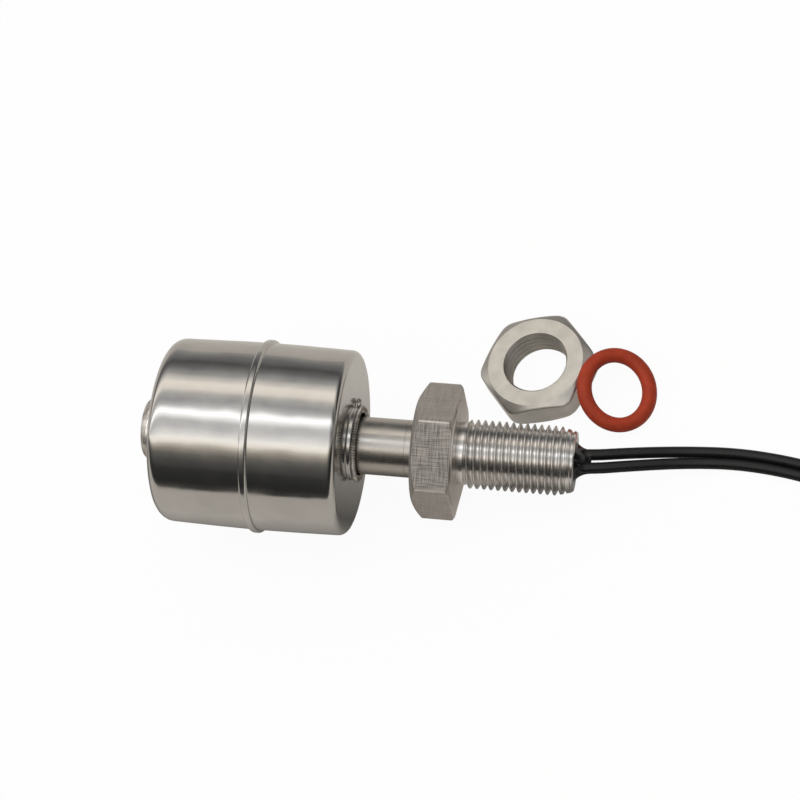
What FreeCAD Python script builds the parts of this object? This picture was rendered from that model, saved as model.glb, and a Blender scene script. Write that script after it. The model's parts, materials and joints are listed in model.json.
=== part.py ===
import FreeCAD, Part
import math
import os

from FreeCAD import Placement, Rotation, Vector

# Float level switch: a hollow steel float slides on a closed stem, and a magnet in
# the float closes a reed contact inside the stem. Millimetres and degrees.
# What is on the stem is drawn on one line first: s runs along it, zero at the sealing
# face of the hexagon and positive towards the threaded end, and r is the distance
# from the line. The float is drawn from its seam on a line of its own. The whole is
# then laid down on z = 0 as it comes to rest.

# A full turn, and the angle from the middle of a hexagon's flat to its corner
TURN = 360.0
HALF_FLAT_ANGLE = 30.0

# Threaded stud, M10 with a pitch of 1
STUD_R = 4.9
STUD_END_S = 16.38
STUD_END_R = 4.25
STUD_TAPER_LENGTH = 2.3
NECK_R = 4.4
NECK_LENGTH = 0.98
NECK_FILLET = 0.55
BORE_R = 2.9

# Hexagon, its sealing face and the pilot that carries the stem
HEX_FLATS = 16.9
HEX_THICKNESS = 5.7
HEX_FACE_R = 7.9
HEX_SEAL_SIDE_R = 9.3
HEX_CHAMFER_ANGLE = 30.0
SEAL_FACE_R = 7.55
SEAL_FACE_HEIGHT = 0.22
TURNED_EDGE = 0.1
SPIGOT_LENGTH = 1.5
PILOT_LENGTH = 4.0
PILOT_CLEARANCE = 0.02

# Stem tube, its end plug and the stop ring
STEM_R = 4.1
STEM_WALL = 0.65
STEM_PAST_STOP = 0.84
PLUG_LENGTH = 2.2
STOP_R = 4.95
STOP_THICKNESS = 0.8
STOP_EDGE = 0.25
STOP_WELD_WIDTH = 0.5
STOP_WELD_BULGE = 0.6

# Float: two drawn cups, seamed at the middle, on an inner tube
FLOAT_R = 13.42
FLOAT_DRAFT_ANGLE = 1.0
FLOAT_WALL = 0.2
CUP_DEPTH_STOP_SIDE = 14.2
CUP_DEPTH_HEX_SIDE = 12.85
CUP_CORNER_STOP_SIDE = 2.0
CUP_CORNER_HEX_SIDE = 1.0
LIP_R = 13.85
LIP_THICKNESS = 0.55
LIP_EDGE = 0.25
FLOAT_TUBE_WALL = 0.25
FLOAT_PLAY = 0.45
FLOAT_TUBE_R = STEM_R + FLOAT_PLAY + FLOAT_TUBE_WALL
COLLAR_WALL = 0.45
COLLAR_HEIGHT = 0.7
COLLAR_FOOT = 0.3
RIM_WELD_WIDTH = 0.62
RIM_WELD_HEIGHT = 0.6
RIM_WELD_EDGE = 0.26
WELD_DROP_R = 0.5
WELD_DROP_ANGLE = 26.0
FLOAT_END_GAP = 0.3
FLOAT_SIDE_GAP = 0.06
FLOAT_TRAVEL = 7.86

# Magnet and its spacers inside the float
MAGNET_R = 7.6
MAGNET_LENGTH = 4.0
SPACER_WALL = 0.8
INNER_CLEARANCE = 0.05

# Reed contact, its carrier board and the insulating sleeve inside the stem
REED_R = 1.1
REED_LENGTH = 12.0
REED_CAVITY_R = 0.75
REED_EDGE = 0.66
REED_END_WALL = 1.5
REED_LEAD_R = 0.28
BLADE_WIDTH = 0.9
BLADE_THICKNESS = 0.15
BLADE_GAP = 0.1
BLADE_OVERLAP = 1.0
LEAD_STRAIGHT = 1.2
BOARD_WIDTH = 4.6
BOARD_THICKNESS = 0.8
BOARD_MARGIN = 1.0
BOARD_TO_PILOT = 0.4
PIN_BELOW_BOARD = 0.35
PIN_HOLE_CLEARANCE = 0.04
SOLDER_R = 0.6
SOLDER_TIP_WALL = 0.05
CORE_PIN_PITCH = 1.3
SLEEVE_R = 3.3
SLEEVE_WALL = 0.2

# Potting in the stud and the two wires
POTTING_START_S = 1.0
POTTING_HEIGHT = 1.7
POTTING_TIP_R = 1.95
POTTING_WAIST_R = 2.2
POTTING_WAIST_HEIGHT = 0.6
WIRE_R = 0.8
WIRE_SPACING = 2.1
WIRE_START_S = 10.8
CORE_R = 0.3
TIP_R = 0.45
TIP_LENGTH = 5.0
ARC_SHARE = 0.45

# Route of the wires: on the stem's line inside the stud, then (x, y, z, half the
# distance between the pair), and a coil wound of the pair, two wires wide
WIRE_INSIDE_S = [WIRE_START_S, 17.4]
WIRE_ROUTE = [
    (23.8, 1.4, 4.3, 1.00),
    (30.8, 2.9, 1.7, 0.82),
    (38.3, 3.05, 0.82, 0.81),
    (46.3, 1.5, 0.82, 0.81),
    (52.3, -0.6, 0.82, 0.81),
    (57.3, -2.5, 0.82, 0.81),
]
COIL_X = 61.0
COIL_Y = 6.5
COIL_INNER_R = 6.51
COIL_OUTER_R = 9.75
COIL_START = -112.3
COIL_THIRD_TURN = 3.67
COIL_TURNS = 4.4
WIRE_PITCH = 1.62

# Lock nut lying flat and ring seal leaning on it, both off the stud.
# Places are counted from the point under the centre of the sealing face.
NUT_FLATS = 15.3
NUT_CORNER_R = 8.5
NUT_THICKNESS = 4.8
NUT_BORE_R = 4.45
NUT_MOUTH_R = 4.8
NUT_FACE_R = 7.1
NUT_X = 7.8
NUT_Y = 16.85
NUT_TURN = 9.3
SEAL_LONG_R = 5.22
SEAL_SHORT_R = 4.69
SEAL_LONG_WAY = 102.9
SEAL_SECTION_R = 1.0
SEAL_X = 20.01
SEAL_Y = 12.94
SEAL_LEAN = 25.3
SEAL_LEAN_WAY = 164.3

# Worked out from the sizes above
HEX_SEAL_SIDE_S = -SEAL_FACE_HEIGHT
HEX_STEM_SIDE_S = HEX_SEAL_SIDE_S - HEX_THICKNESS
STEM_START_S = HEX_STEM_SIDE_S - SPIGOT_LENGTH
PILOT_END_S = STEM_START_S - PILOT_LENGTH
STEM_BORE_R = STEM_R - STEM_WALL
HEX_CORNER_R = HEX_FLATS / 2 / math.cos(math.radians(HALF_FLAT_ANGLE))
RIM_HEIGHT = COLLAR_HEIGHT + RIM_WELD_HEIGHT
RIM_R = FLOAT_TUBE_R + RIM_WELD_WIDTH
FLOAT_TOP = CUP_DEPTH_HEX_SIDE + RIM_HEIGHT
FLOAT_BOTTOM = -CUP_DEPTH_STOP_SIDE - RIM_HEIGHT
FLOAT_RAISE = FLOAT_PLAY - FLOAT_SIDE_GAP
SEAM_S = HEX_STEM_SIDE_S - FLOAT_END_GAP - FLOAT_TRAVEL - FLOAT_TOP
STOP_S = SEAM_S + FLOAT_BOTTOM - FLOAT_END_GAP
STOP_FAR_S = STOP_S - STOP_THICKNESS
STEM_END_S = STOP_FAR_S - STEM_PAST_STOP
REED_S = SEAM_S + FLOAT_TRAVEL
BOARD_TOP_Z = -REED_R - INNER_CLEARANCE
BOARD_LOW_Z = BOARD_TOP_Z - BOARD_THICKNESS
BOARD_HIGH_S = PILOT_END_S - BOARD_TO_PILOT
REED_PIN_HIGH_S = REED_S + REED_LENGTH / 2 + LEAD_STRAIGHT
REED_PIN_LOW_S = REED_S - REED_LENGTH / 2 - LEAD_STRAIGHT
CORE_PIN_S = REED_PIN_HIGH_S + CORE_PIN_PITCH
BOARD_LOW_S = REED_PIN_LOW_S - BOARD_MARGIN

# The part rests on the hex side cup's edge and on one corner of the hexagon. The stem
# lies in the float's bore, so the float sits higher than the stem by their play.
HEX_TOUCH_S = HEX_SEAL_SIDE_S - (HEX_CORNER_R - HEX_SEAL_SIDE_R) * math.tan(
    math.radians(HEX_CHAMFER_ANGLE))
CUP_END_R = FLOAT_R - CUP_DEPTH_HEX_SIDE * math.tan(math.radians(FLOAT_DRAFT_ANGLE))
EDGE_T = CUP_DEPTH_HEX_SIDE - CUP_CORNER_HEX_SIDE
EDGE_R = CUP_END_R - CUP_CORNER_HEX_SIDE * math.tan(
    math.radians(45 - FLOAT_DRAFT_ANGLE / 2))
REST_RUN = HEX_TOUCH_S - SEAM_S - EDGE_T
REST_RISE = EDGE_R - FLOAT_RAISE - HEX_CORNER_R
DIP = math.degrees(math.asin(CUP_CORNER_HEX_SIDE / math.hypot(REST_RUN, REST_RISE))
                   + math.atan2(REST_RISE, REST_RUN))
SEAL_FACE_HEIGHT_Z = (HEX_CORNER_R * math.cos(math.radians(DIP))
                      + HEX_TOUCH_S * math.sin(math.radians(DIP)))


def corner_arc(before, at, after, radius):
    """The arc that rounds the corner at one point of a path, as three points."""
    back = (before - at).normalize()
    on = (after - at).normalize()
    half = back.getAngle(on) / 2
    middle = (back + on).normalize()
    centre = at + middle * (radius / math.sin(half))
    reach = radius / math.tan(half)
    return at + back * reach, centre - middle * radius, at + on * reach


def straight(a, b):
    return Part.LineSegment(a, b).toShape()


def arc(a, b, c):
    return Part.Arc(a, b, c).toShape()


def outline(corners):
    """A closed face in the s-r plane. Each corner is (s, r) or (s, r, rounding)."""
    points = [Vector(c[0], 0, c[1]) for c in corners]
    edges = []
    ends = []
    for i, c in enumerate(corners):
        if len(c) < 3:
            ends.append((points[i], points[i]))
            continue
        a, b, e = corner_arc(points[i - 1], points[i], points[(i + 1) % len(points)], c[2])
        edges.append(arc(a, b, e))
        ends.append((a, e))
    for i, (_, leave) in enumerate(ends):
        arrive = ends[(i + 1) % len(ends)][0]
        if leave.distanceToPoint(arrive) > 1e-6:
            edges.append(straight(leave, arrive))
    return Part.Face(Part.Wire(Part.__sortEdges__(edges)))


def turned(corners):
    """A solid turned about the stem's line."""
    return outline(corners).revolve(Vector(0, 0, 0), Vector(1, 0, 0), TURN)


def ring(s_low, s_high, r_in, r_out):
    return turned([(s_low, r_in), (s_high, r_in), (s_high, r_out), (s_low, r_out)])


def rod(s_low, s_high, r, y=0.0, z=0.0):
    return Part.makeCylinder(r, s_high - s_low, Vector(s_low, y, z), Vector(1, 0, 0))


def upright(s, y, z_low, z_high, r):
    return Part.makeCylinder(r, z_high - z_low, Vector(s, y, z_low))


def block(s_low, s_high, width, z_low, z_high):
    return Part.makeBox(s_high - s_low, width, z_high - z_low, Vector(s_low, -width / 2, z_low))


def hexagon(flats, height, turn, axis_turn):
    """A hexagonal bar of one height along the given turn of the Z axis."""
    points = []
    for i in range(7):
        angle = math.radians(turn + 60 * i)
        r = flats / 2 / math.cos(math.radians(HALF_FLAT_ANGLE))
        points.append(Vector(r * math.cos(angle), r * math.sin(angle), 0))
    bar = Part.Face(Part.makePolygon(points)).extrude(Vector(0, 0, height))
    bar.transformShape(axis_turn.toMatrix())
    return bar


def hex_fitting():
    """Hexagon, sealing face, pilot and stud, turned from one bar."""
    slope = math.tan(math.radians(HEX_CHAMFER_ANGLE))
    stem_side = HEX_STEM_SIDE_S + (HEX_CORNER_R - HEX_FACE_R) * slope
    envelope = turned([
        (HEX_STEM_SIDE_S, 0), (HEX_STEM_SIDE_S, HEX_FACE_R), (stem_side, HEX_CORNER_R),
        (HEX_TOUCH_S, HEX_CORNER_R), (HEX_SEAL_SIDE_S, HEX_SEAL_SIDE_R), (HEX_SEAL_SIDE_S, 0)])
    along_stem = Placement(Vector(HEX_STEM_SIDE_S, 0, 0), Rotation(Vector(0, 1, 0), 90))
    bar = hexagon(HEX_FLATS, HEX_THICKNESS, 0, along_stem)
    body = bar.common(envelope)
    turned_ends = turned([
        (PILOT_END_S, 0), (PILOT_END_S, STEM_BORE_R - PILOT_CLEARANCE),
        (STEM_START_S, STEM_BORE_R - PILOT_CLEARANCE), (STEM_START_S, STEM_R),
        (HEX_SEAL_SIDE_S, STEM_R), (HEX_SEAL_SIDE_S, SEAL_FACE_R),
        (0, SEAL_FACE_R, TURNED_EDGE), (0, NECK_R, NECK_FILLET), (NECK_LENGTH, NECK_R),
        (NECK_LENGTH + STUD_R - NECK_R, STUD_R), (STUD_END_S - STUD_TAPER_LENGTH, STUD_R),
        (STUD_END_S, STUD_END_R), (STUD_END_S, 0)])
    bore = rod(PILOT_END_S - 1, STUD_END_S + 1, BORE_R)
    return body.fuse(turned_ends).cut(bore).removeSplitter()


def stem_tube():
    return ring(STEM_END_S, STEM_START_S, STEM_BORE_R, STEM_R)


def stem_end_plug():
    return rod(STEM_END_S, STEM_END_S + PLUG_LENGTH, STEM_BORE_R - PILOT_CLEARANCE)


def stop_ring():
    return turned([
        (STOP_S, STEM_R), (STOP_S, STOP_R, STOP_EDGE),
        (STOP_FAR_S, STOP_R, STOP_EDGE), (STOP_FAR_S, STEM_R)])


def stop_weld():
    """A fillet weld in the corner between the stem's end and the stop ring."""
    a = Vector(STOP_FAR_S, 0, STEM_R)
    b = Vector(STEM_END_S, 0, STEM_R)
    c = Vector(STOP_FAR_S, 0, STEM_R + STOP_WELD_WIDTH)
    bulge = Vector(STOP_FAR_S - STEM_PAST_STOP * STOP_WELD_BULGE, 0,
                   STEM_R + STOP_WELD_WIDTH * STOP_WELD_BULGE)
    face = Part.Face(Part.Wire([straight(a, b), arc(b, bulge, c), straight(c, a)]))
    return face.revolve(Vector(0, 0, 0), Vector(1, 0, 0), TURN)


def cup(depth, corner):
    """One drawn cup, its seam lip at zero and its collar beyond its depth."""
    fall = math.tan(math.radians(FLOAT_DRAFT_ANGLE))
    end_r = FLOAT_R - depth * fall
    lip_r = FLOAT_R - LIP_THICKNESS * fall
    collar_r = FLOAT_TUBE_R + COLLAR_WALL
    return turned([
        (0, LIP_R), (LIP_THICKNESS, LIP_R, LIP_EDGE), (LIP_THICKNESS, lip_r),
        (depth, end_r, corner), (depth, collar_r, COLLAR_FOOT),
        (depth + COLLAR_HEIGHT, collar_r), (depth + COLLAR_HEIGHT, FLOAT_TUBE_R),
        (depth - FLOAT_WALL, FLOAT_TUBE_R),
        (depth - FLOAT_WALL, end_r - FLOAT_WALL, corner - FLOAT_WALL),
        (0, FLOAT_R - FLOAT_WALL)])


def cup_hex_side():
    return cup(CUP_DEPTH_HEX_SIDE, CUP_CORNER_HEX_SIDE)


def cup_stop_side():
    shape = cup(CUP_DEPTH_STOP_SIDE, CUP_CORNER_STOP_SIDE)
    return shape.mirror(Vector(0, 0, 0), Vector(1, 0, 0))


def float_tube():
    inset = RIM_WELD_EDGE / 2
    return ring(FLOAT_BOTTOM + inset, FLOAT_TOP - inset, FLOAT_TUBE_R - FLOAT_TUBE_WALL,
                FLOAT_TUBE_R)


def rim_weld():
    """The weld bead that closes a collar onto the tube, rising from zero."""
    edge = RIM_WELD_EDGE
    return turned([
        (0, FLOAT_TUBE_R), (0, RIM_R, edge / 2), (RIM_WELD_HEIGHT, RIM_R, edge),
        (RIM_WELD_HEIGHT, FLOAT_TUBE_R, edge / 2)])


def rim_weld_hex_side():
    """The bead on the hexagon's side ends in a drop of weld metal on the collar."""
    foot = FLOAT_TOP - RIM_WELD_HEIGHT
    angle = math.radians(WELD_DROP_ANGLE)
    r = RIM_R + WELD_DROP_R / 2
    drop = Part.makeSphere(WELD_DROP_R, Vector(foot, r * math.cos(angle), r * math.sin(angle)))
    bead = rim_weld().translated(Vector(foot, 0, 0))
    return bead.fuse(drop).cut(cup_hex_side()).removeSplitter()


def rim_weld_stop_side():
    bead = rim_weld().mirror(Vector(0, 0, 0), Vector(1, 0, 0))
    return bead.translated(Vector(FLOAT_BOTTOM + RIM_WELD_HEIGHT, 0, 0))


def ring_magnet():
    half = MAGNET_LENGTH / 2
    return ring(-half, half, FLOAT_TUBE_R + INNER_CLEARANCE, MAGNET_R)


def magnet_spacer(low, high):
    bore = FLOAT_TUBE_R + INNER_CLEARANCE
    return ring(low, high, bore, bore + SPACER_WALL)


def spacer_hex_side():
    return magnet_spacer(MAGNET_LENGTH / 2, CUP_DEPTH_HEX_SIDE - FLOAT_WALL)


def spacer_stop_side():
    return magnet_spacer(FLOAT_WALL - CUP_DEPTH_STOP_SIDE, -MAGNET_LENGTH / 2)


def bent_pin(s_far, s_bend, y, r):
    """A wire along the stem that turns down through the carrier board."""
    low, high = sorted((s_far, s_bend))
    along = rod(low, high, r, y)
    bend = Part.makeSphere(r, Vector(s_bend, y, 0))
    down = upright(s_bend, y, BOARD_LOW_Z - PIN_BELOW_BOARD, 0, r)
    return along.fuse([bend, down]).removeSplitter()


def reed_contact(side):
    """Lead and blade of one side; side is +1 towards the hexagon."""
    wall_s = REED_S + side * (REED_LENGTH / 2 - REED_END_WALL)
    pin_s = REED_S + side * (REED_LENGTH / 2 + LEAD_STRAIGHT)
    tip_s = REED_S - side * BLADE_OVERLAP / 2
    low = BLADE_GAP / 2 if side > 0 else -BLADE_GAP / 2 - BLADE_THICKNESS
    blade = block(min(wall_s, tip_s), max(wall_s, tip_s), BLADE_WIDTH, low, low + BLADE_THICKNESS)
    return bent_pin(wall_s, pin_s, 0, REED_LEAD_R).fuse(blade).removeSplitter()


def reed_glass():
    low = REED_S - REED_LENGTH / 2
    high = REED_S + REED_LENGTH / 2
    glass = turned([(low, 0), (low, REED_R, REED_EDGE), (high, REED_R, REED_EDGE), (high, 0)])
    cavity = rod(low + REED_END_WALL, high - REED_END_WALL, REED_CAVITY_R)
    return glass.cut(cavity).cut(rod(low - 1, high + 1, REED_LEAD_R))


def pin_places():
    """Where the two reed leads and the two wire cores go through the board."""
    half = WIRE_SPACING / 2
    return [(REED_PIN_LOW_S, 0, REED_LEAD_R), (REED_PIN_HIGH_S, 0, REED_LEAD_R),
            (CORE_PIN_S, half, CORE_R), (CORE_PIN_S, -half, CORE_R)]


def carrier_board():
    board = block(BOARD_LOW_S, BOARD_HIGH_S, BOARD_WIDTH, BOARD_LOW_Z, BOARD_TOP_Z)
    holes = [upright(s, y, BOARD_LOW_Z - 1, BOARD_TOP_Z + 1, r + PIN_HOLE_CLEARANCE)
             for s, y, r in pin_places()]
    return board.cut(holes)


def solder_joints():
    """One small cone of solder round each pin, under the board."""
    low = BOARD_LOW_Z - PIN_BELOW_BOARD
    joints = []
    for s, y, r in pin_places():
        cone = Part.makeCone(r + SOLDER_TIP_WALL, SOLDER_R, PIN_BELOW_BOARD, Vector(s, y, low))
        joints.append(cone.cut(upright(s, y, low - 1, 0, r)))
    return Part.makeCompound(joints)


def insulating_sleeve():
    return ring(BOARD_LOW_S - BOARD_MARGIN, BOARD_HIGH_S, SLEEVE_R - SLEEVE_WALL, SLEEVE_R)


def core(side):
    """The stripped strands of one wire, from its insulation to the board."""
    return bent_pin(WIRE_START_S, CORE_PIN_S, side * WIRE_SPACING / 2, CORE_R)


def potting():
    """Resin in the stud's bore, with a waisted cone up to the wires."""
    mouth = Vector(STUD_END_S, 0, BORE_R)
    waist = Vector(STUD_END_S + POTTING_WAIST_HEIGHT, 0, POTTING_WAIST_R)
    tip = Vector(STUD_END_S + POTTING_HEIGHT, 0, POTTING_TIP_R)
    start = Vector(POTTING_START_S, 0, BORE_R)
    on_axis = [Vector(tip.x, 0, 0), Vector(start.x, 0, 0)]
    edges = [straight(start, mouth), arc(mouth, waist, tip), straight(tip, on_axis[0]),
             straight(on_axis[0], on_axis[1]), straight(on_axis[1], start)]
    return Part.Face(Part.Wire(edges)).revolve(Vector(0, 0, 0), Vector(1, 0, 0), TURN)


def lock_nut():
    slope = math.tan(math.radians(HEX_CHAMFER_ANGLE))
    drop = (NUT_CORNER_R - NUT_FACE_R) * slope
    mouth = NUT_MOUTH_R - NUT_BORE_R
    top = NUT_THICKNESS
    profile = [(0, NUT_MOUTH_R), (0, NUT_FACE_R), (drop, NUT_CORNER_R), (top - drop, NUT_CORNER_R),
               (top, NUT_FACE_R), (top, NUT_MOUTH_R), (top - mouth, NUT_BORE_R), (mouth, NUT_BORE_R)]
    envelope = turned(profile)
    envelope.transformShape(Rotation(Vector(0, 1, 0), -90).toMatrix())
    bar = hexagon(NUT_FLATS, NUT_THICKNESS, NUT_TURN, Placement())
    return bar.common(envelope)


def ring_seal():
    """Soft ring, a little oval, with one side on the floor and the other on the nut."""
    origin = Vector(0, 0, 0)
    upward = Vector(0, 0, 1)
    section = Part.Face(Part.Wire(Part.makeCircle(SEAL_SECTION_R, origin, Vector(0, 1, 0))))
    off_centre = (SEAL_LONG_R - SEAL_SHORT_R) / (2 - math.sqrt(2))
    end_r = SEAL_LONG_R - off_centre
    side_r = SEAL_SHORT_R + off_centre
    quarters = []
    for i, (r, x, y) in enumerate([(end_r, 1, 0), (side_r, 0, -1), (end_r, -1, 0), (side_r, 0, 1)]):
        quarter = section.translated(Vector(r, 0, 0)).revolve(origin, upward, TURN / 4)
        quarter.rotate(origin, upward, TURN * (i / 4 - 1 / 8))
        quarters.append(quarter.translated(Vector(x, y, 0) * off_centre))
    seal = quarters[0].fuse(quarters[1:]).removeSplitter()
    seal.rotate(origin, upward, SEAL_LONG_WAY)
    way = math.radians(SEAL_LEAN_WAY)
    seal.rotate(origin, Vector(math.sin(way), -math.cos(way), 0), SEAL_LEAN)
    reach = side_r - off_centre * math.sin(math.radians(SEAL_LEAN_WAY - SEAL_LONG_WAY))
    height = SEAL_SECTION_R + reach * math.sin(math.radians(SEAL_LEAN))
    return seal.translated(Vector(0, 0, height))


def laid_down(shape):
    """Turn a shape from the stem's line to how the part lies."""
    place = Placement(Vector(0, 0, SEAL_FACE_HEIGHT_Z), Rotation(Vector(0, 1, 0), DIP))
    moved = shape.copy()
    moved.transformShape(place.toMatrix())
    return moved


def on_float(shape):
    """Set a float piece on the stem, higher by the play, and lay it down."""
    return laid_down(shape.translated(Vector(SEAM_S, 0, FLOAT_RAISE)))


def at_stem(s, y=0.0):
    """The place of a point of the stem's line once the part is laid down."""
    dip = math.radians(DIP)
    return Vector(s * math.cos(dip), y, SEAL_FACE_HEIGHT_Z - s * math.sin(dip))


def wire_points(side):
    """Corner points of one wire's route; side is +1 or -1 across the pair."""
    inside = [(at_stem(s), WIRE_SPACING / 2) for s in WIRE_INSIDE_S]
    middle = inside + [(Vector(x, y, z), half) for x, y, z, half in WIRE_ROUTE]
    points = []
    for i, (point, half) in enumerate(middle):
        before = middle[max(i - 1, 0)][0]
        after = middle[min(i + 1, len(middle) - 1)][0]
        along = after - before
        across = Vector(-along.y, along.x, 0).normalize()
        points.append(point + across * (side * half))
    return points


def wire_tube(name, side):
    """A wire from inside the stud to its coil, straight runs joined by arcs."""
    points = wire_points(side)
    edges = []
    leave = points[0]
    radii = []
    for before, at, after in zip(points, points[1:], points[2:]):
        turn = (at - before).getAngle(after - at)
        run = min(at.distanceToPoint(before), at.distanceToPoint(after))
        radius = ARC_SHARE * run / math.tan(turn / 2)
        a, b, e = corner_arc(before, at, after, radius)
        edges += [straight(leave, a), arc(a, b, e)]
        leave = e
        radii.append(round(radius, 1))
    edges.append(straight(leave, points[-1]))
    path = Part.Wire(edges)
    section = Part.Wire(Part.makeCircle(WIRE_R, points[0], points[1] - points[0]))
    tube = path.makePipeShell([section], True, False)
    share = tube.Volume / (math.pi * WIRE_R ** 2 * path.Length)
    print(name, "arc radii", radii, "length", round(path.Length, 1), "volume share", round(share, 5))
    return tube


def coil_block(r_in, r_out, z_low, z_high, turn_from, sweep):
    """Part of a flat ring about the coil's centre, from one turn angle on."""
    corners = [(r_in, z_low), (r_out, z_low), (r_out, z_high), (r_in, z_high), (r_in, z_low)]
    face = Part.Face(Part.makePolygon([Vector(r, 0, z) for r, z in corners]))
    block_ = face.revolve(Vector(0, 0, 0), Vector(0, 0, 1), sweep)
    block_.rotate(Vector(0, 0, 0), Vector(0, 0, 1), turn_from)
    return block_.translated(Vector(COIL_X, COIL_Y, 0))


def wire_coil():
    """Outer shape of the coil: two full layers and a third that stops short."""
    half = WIRE_PITCH / 2 + WIRE_R
    gap = WIRE_PITCH / 2 - WIRE_R
    full = coil_block(COIL_INNER_R - half, COIL_OUTER_R + half, gap, 2 * WIRE_PITCH - gap, 0, TURN)
    third = coil_block(COIL_OUTER_R - half, COIL_OUTER_R + half, 2 * WIRE_PITCH - gap,
                       3 * WIRE_PITCH - gap, COIL_START + TURN * COIL_THIRD_TURN,
                       TURN * (COIL_TURNS - COIL_THIRD_TURN))
    return full.fuse(third).removeSplitter()


def bare_end(side):
    """The stripped and tinned end of a wire, on top of the coil."""
    r = COIL_OUTER_R + side * -WIRE_PITCH / 2
    start = Vector(r, 0, 2.5 * WIRE_PITCH)
    face = Part.Face(Part.Wire(Part.makeCircle(TIP_R, start, Vector(0, 1, 0))))
    end = face.revolve(Vector(0, 0, 0), Vector(0, 0, 1), math.degrees(TIP_LENGTH / r))
    end.rotate(Vector(0, 0, 0), Vector(0, 0, 1), COIL_START + TURN * COIL_TURNS)
    return end.translated(Vector(COIL_X, COIL_Y, 0))


def write(nodes):
    os.makedirs("parts", exist_ok=True)
    for name, shape in nodes.items():
        shape.exportStep("parts/" + name + ".step")
        print(name, "volume", round(shape.Volume, 3), "valid", shape.isValid())


def main():
    stem_pieces = {
        "hex_fitting": hex_fitting(),
        "stem_tube": stem_tube(),
        "stem_end_plug": stem_end_plug(),
        "stop_ring": stop_ring(),
        "stop_weld": stop_weld(),
        "reed_glass": reed_glass(),
        "reed_contact_upper": reed_contact(1),
        "reed_contact_lower": reed_contact(-1),
        "carrier_board": carrier_board(),
        "solder_joints": solder_joints(),
        "insulating_sleeve": insulating_sleeve(),
        "core_a": core(1),
        "core_b": core(-1),
    }
    float_pieces = {
        "cup_hex_side": cup_hex_side(),
        "cup_stop_side": cup_stop_side(),
        "float_tube": float_tube(),
        "rim_weld_hex_side": rim_weld_hex_side(),
        "rim_weld_stop_side": rim_weld_stop_side(),
        "ring_magnet": ring_magnet(),
        "spacer_hex_side": spacer_hex_side(),
        "spacer_stop_side": spacer_stop_side(),
    }
    nodes = {name: laid_down(shape) for name, shape in stem_pieces.items()}
    nodes.update({name: on_float(shape) for name, shape in float_pieces.items()})
    coil = wire_coil()
    wires = [wire_tube("wire_a", 1), wire_tube("wire_b", -1)]
    nodes["potting"] = laid_down(potting()).cut(wires + [nodes["core_a"], nodes["core_b"]])
    nodes["lock_nut"] = lock_nut().translated(Vector(NUT_X, NUT_Y, 0))
    nodes["ring_seal"] = ring_seal().translated(Vector(SEAL_X, SEAL_Y, 0))
    box = Part.makeCompound(list(nodes.values())).optimalBoundingBox()
    nodes["wire_a"] = wires[0].cut(coil)
    nodes["wire_b"] = wires[1].cut(coil)
    nodes["wire_coil"] = coil
    nodes["bare_end_a"] = bare_end(1)
    nodes["bare_end_b"] = bare_end(-1)
    to_origin = Vector(-(box.XMin + box.XMax) / 2, -(box.YMin + box.YMax) / 2, 0)
    print("box", box, "moved by", to_origin)
    print("dip", DIP, "float raised", FLOAT_RAISE, "seam at", SEAM_S)
    write({name: shape.translated(to_origin) for name, shape in nodes.items()})


main()
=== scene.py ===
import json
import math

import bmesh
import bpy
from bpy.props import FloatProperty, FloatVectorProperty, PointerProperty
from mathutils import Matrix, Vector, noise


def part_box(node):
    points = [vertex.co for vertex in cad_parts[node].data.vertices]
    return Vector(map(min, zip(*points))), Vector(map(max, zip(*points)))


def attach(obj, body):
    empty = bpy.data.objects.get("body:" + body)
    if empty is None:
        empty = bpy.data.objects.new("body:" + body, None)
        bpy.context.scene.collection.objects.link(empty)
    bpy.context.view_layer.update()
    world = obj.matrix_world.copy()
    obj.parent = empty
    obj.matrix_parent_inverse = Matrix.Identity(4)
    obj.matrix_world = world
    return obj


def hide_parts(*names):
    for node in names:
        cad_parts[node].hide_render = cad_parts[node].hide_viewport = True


bl_info = {
    "name": "Float Level Switch",
    "version": (1, 0, 0),
    "blender": (4, 5, 0),
    "location": "3D View > Sidebar > Level Switch",
    "description": "Finishes the float, stem, thread, welds, nut, seal and wires of a level switch",
    "category": "Object",
}

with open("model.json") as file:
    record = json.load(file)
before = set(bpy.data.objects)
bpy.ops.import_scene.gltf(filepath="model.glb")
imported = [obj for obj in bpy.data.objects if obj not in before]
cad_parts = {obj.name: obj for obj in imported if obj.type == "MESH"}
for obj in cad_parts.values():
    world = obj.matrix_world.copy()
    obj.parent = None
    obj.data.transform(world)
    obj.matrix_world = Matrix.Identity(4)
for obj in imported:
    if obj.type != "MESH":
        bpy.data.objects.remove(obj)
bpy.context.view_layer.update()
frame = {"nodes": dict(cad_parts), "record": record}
MM = 0.001
# Points of a mesh that lie nearer than this are one point
MERGE_DISTANCE = 1e-7
# From the middle of a hexagon's flat to its corner
HALF_FLAT = math.radians(30)
# Turns a piece made about Z onto X
Z_TO_X = Matrix.Rotation(math.radians(90), 4, "Y")


# Property helpers

def length(name, description, mm):
    """A length property whose default is given in millimetres."""
    return FloatProperty(name=name, description=description, default=mm * MM, precision=5,
                         unit="LENGTH", subtype="DISTANCE")


def angle(name, description, degrees):
    return FloatProperty(name=name, description=description, default=math.radians(degrees),
                         unit="ROTATION", subtype="ANGLE")


def colour(name, description, rgb):
    return FloatVectorProperty(name=name, description=description, default=rgb, size=3,
                               subtype="COLOR", min=0.0, max=1.0)


def factor(name, description, value):
    return FloatProperty(name=name, description=description, default=value, subtype="FACTOR",
                         min=0.0, max=1.0)


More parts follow.
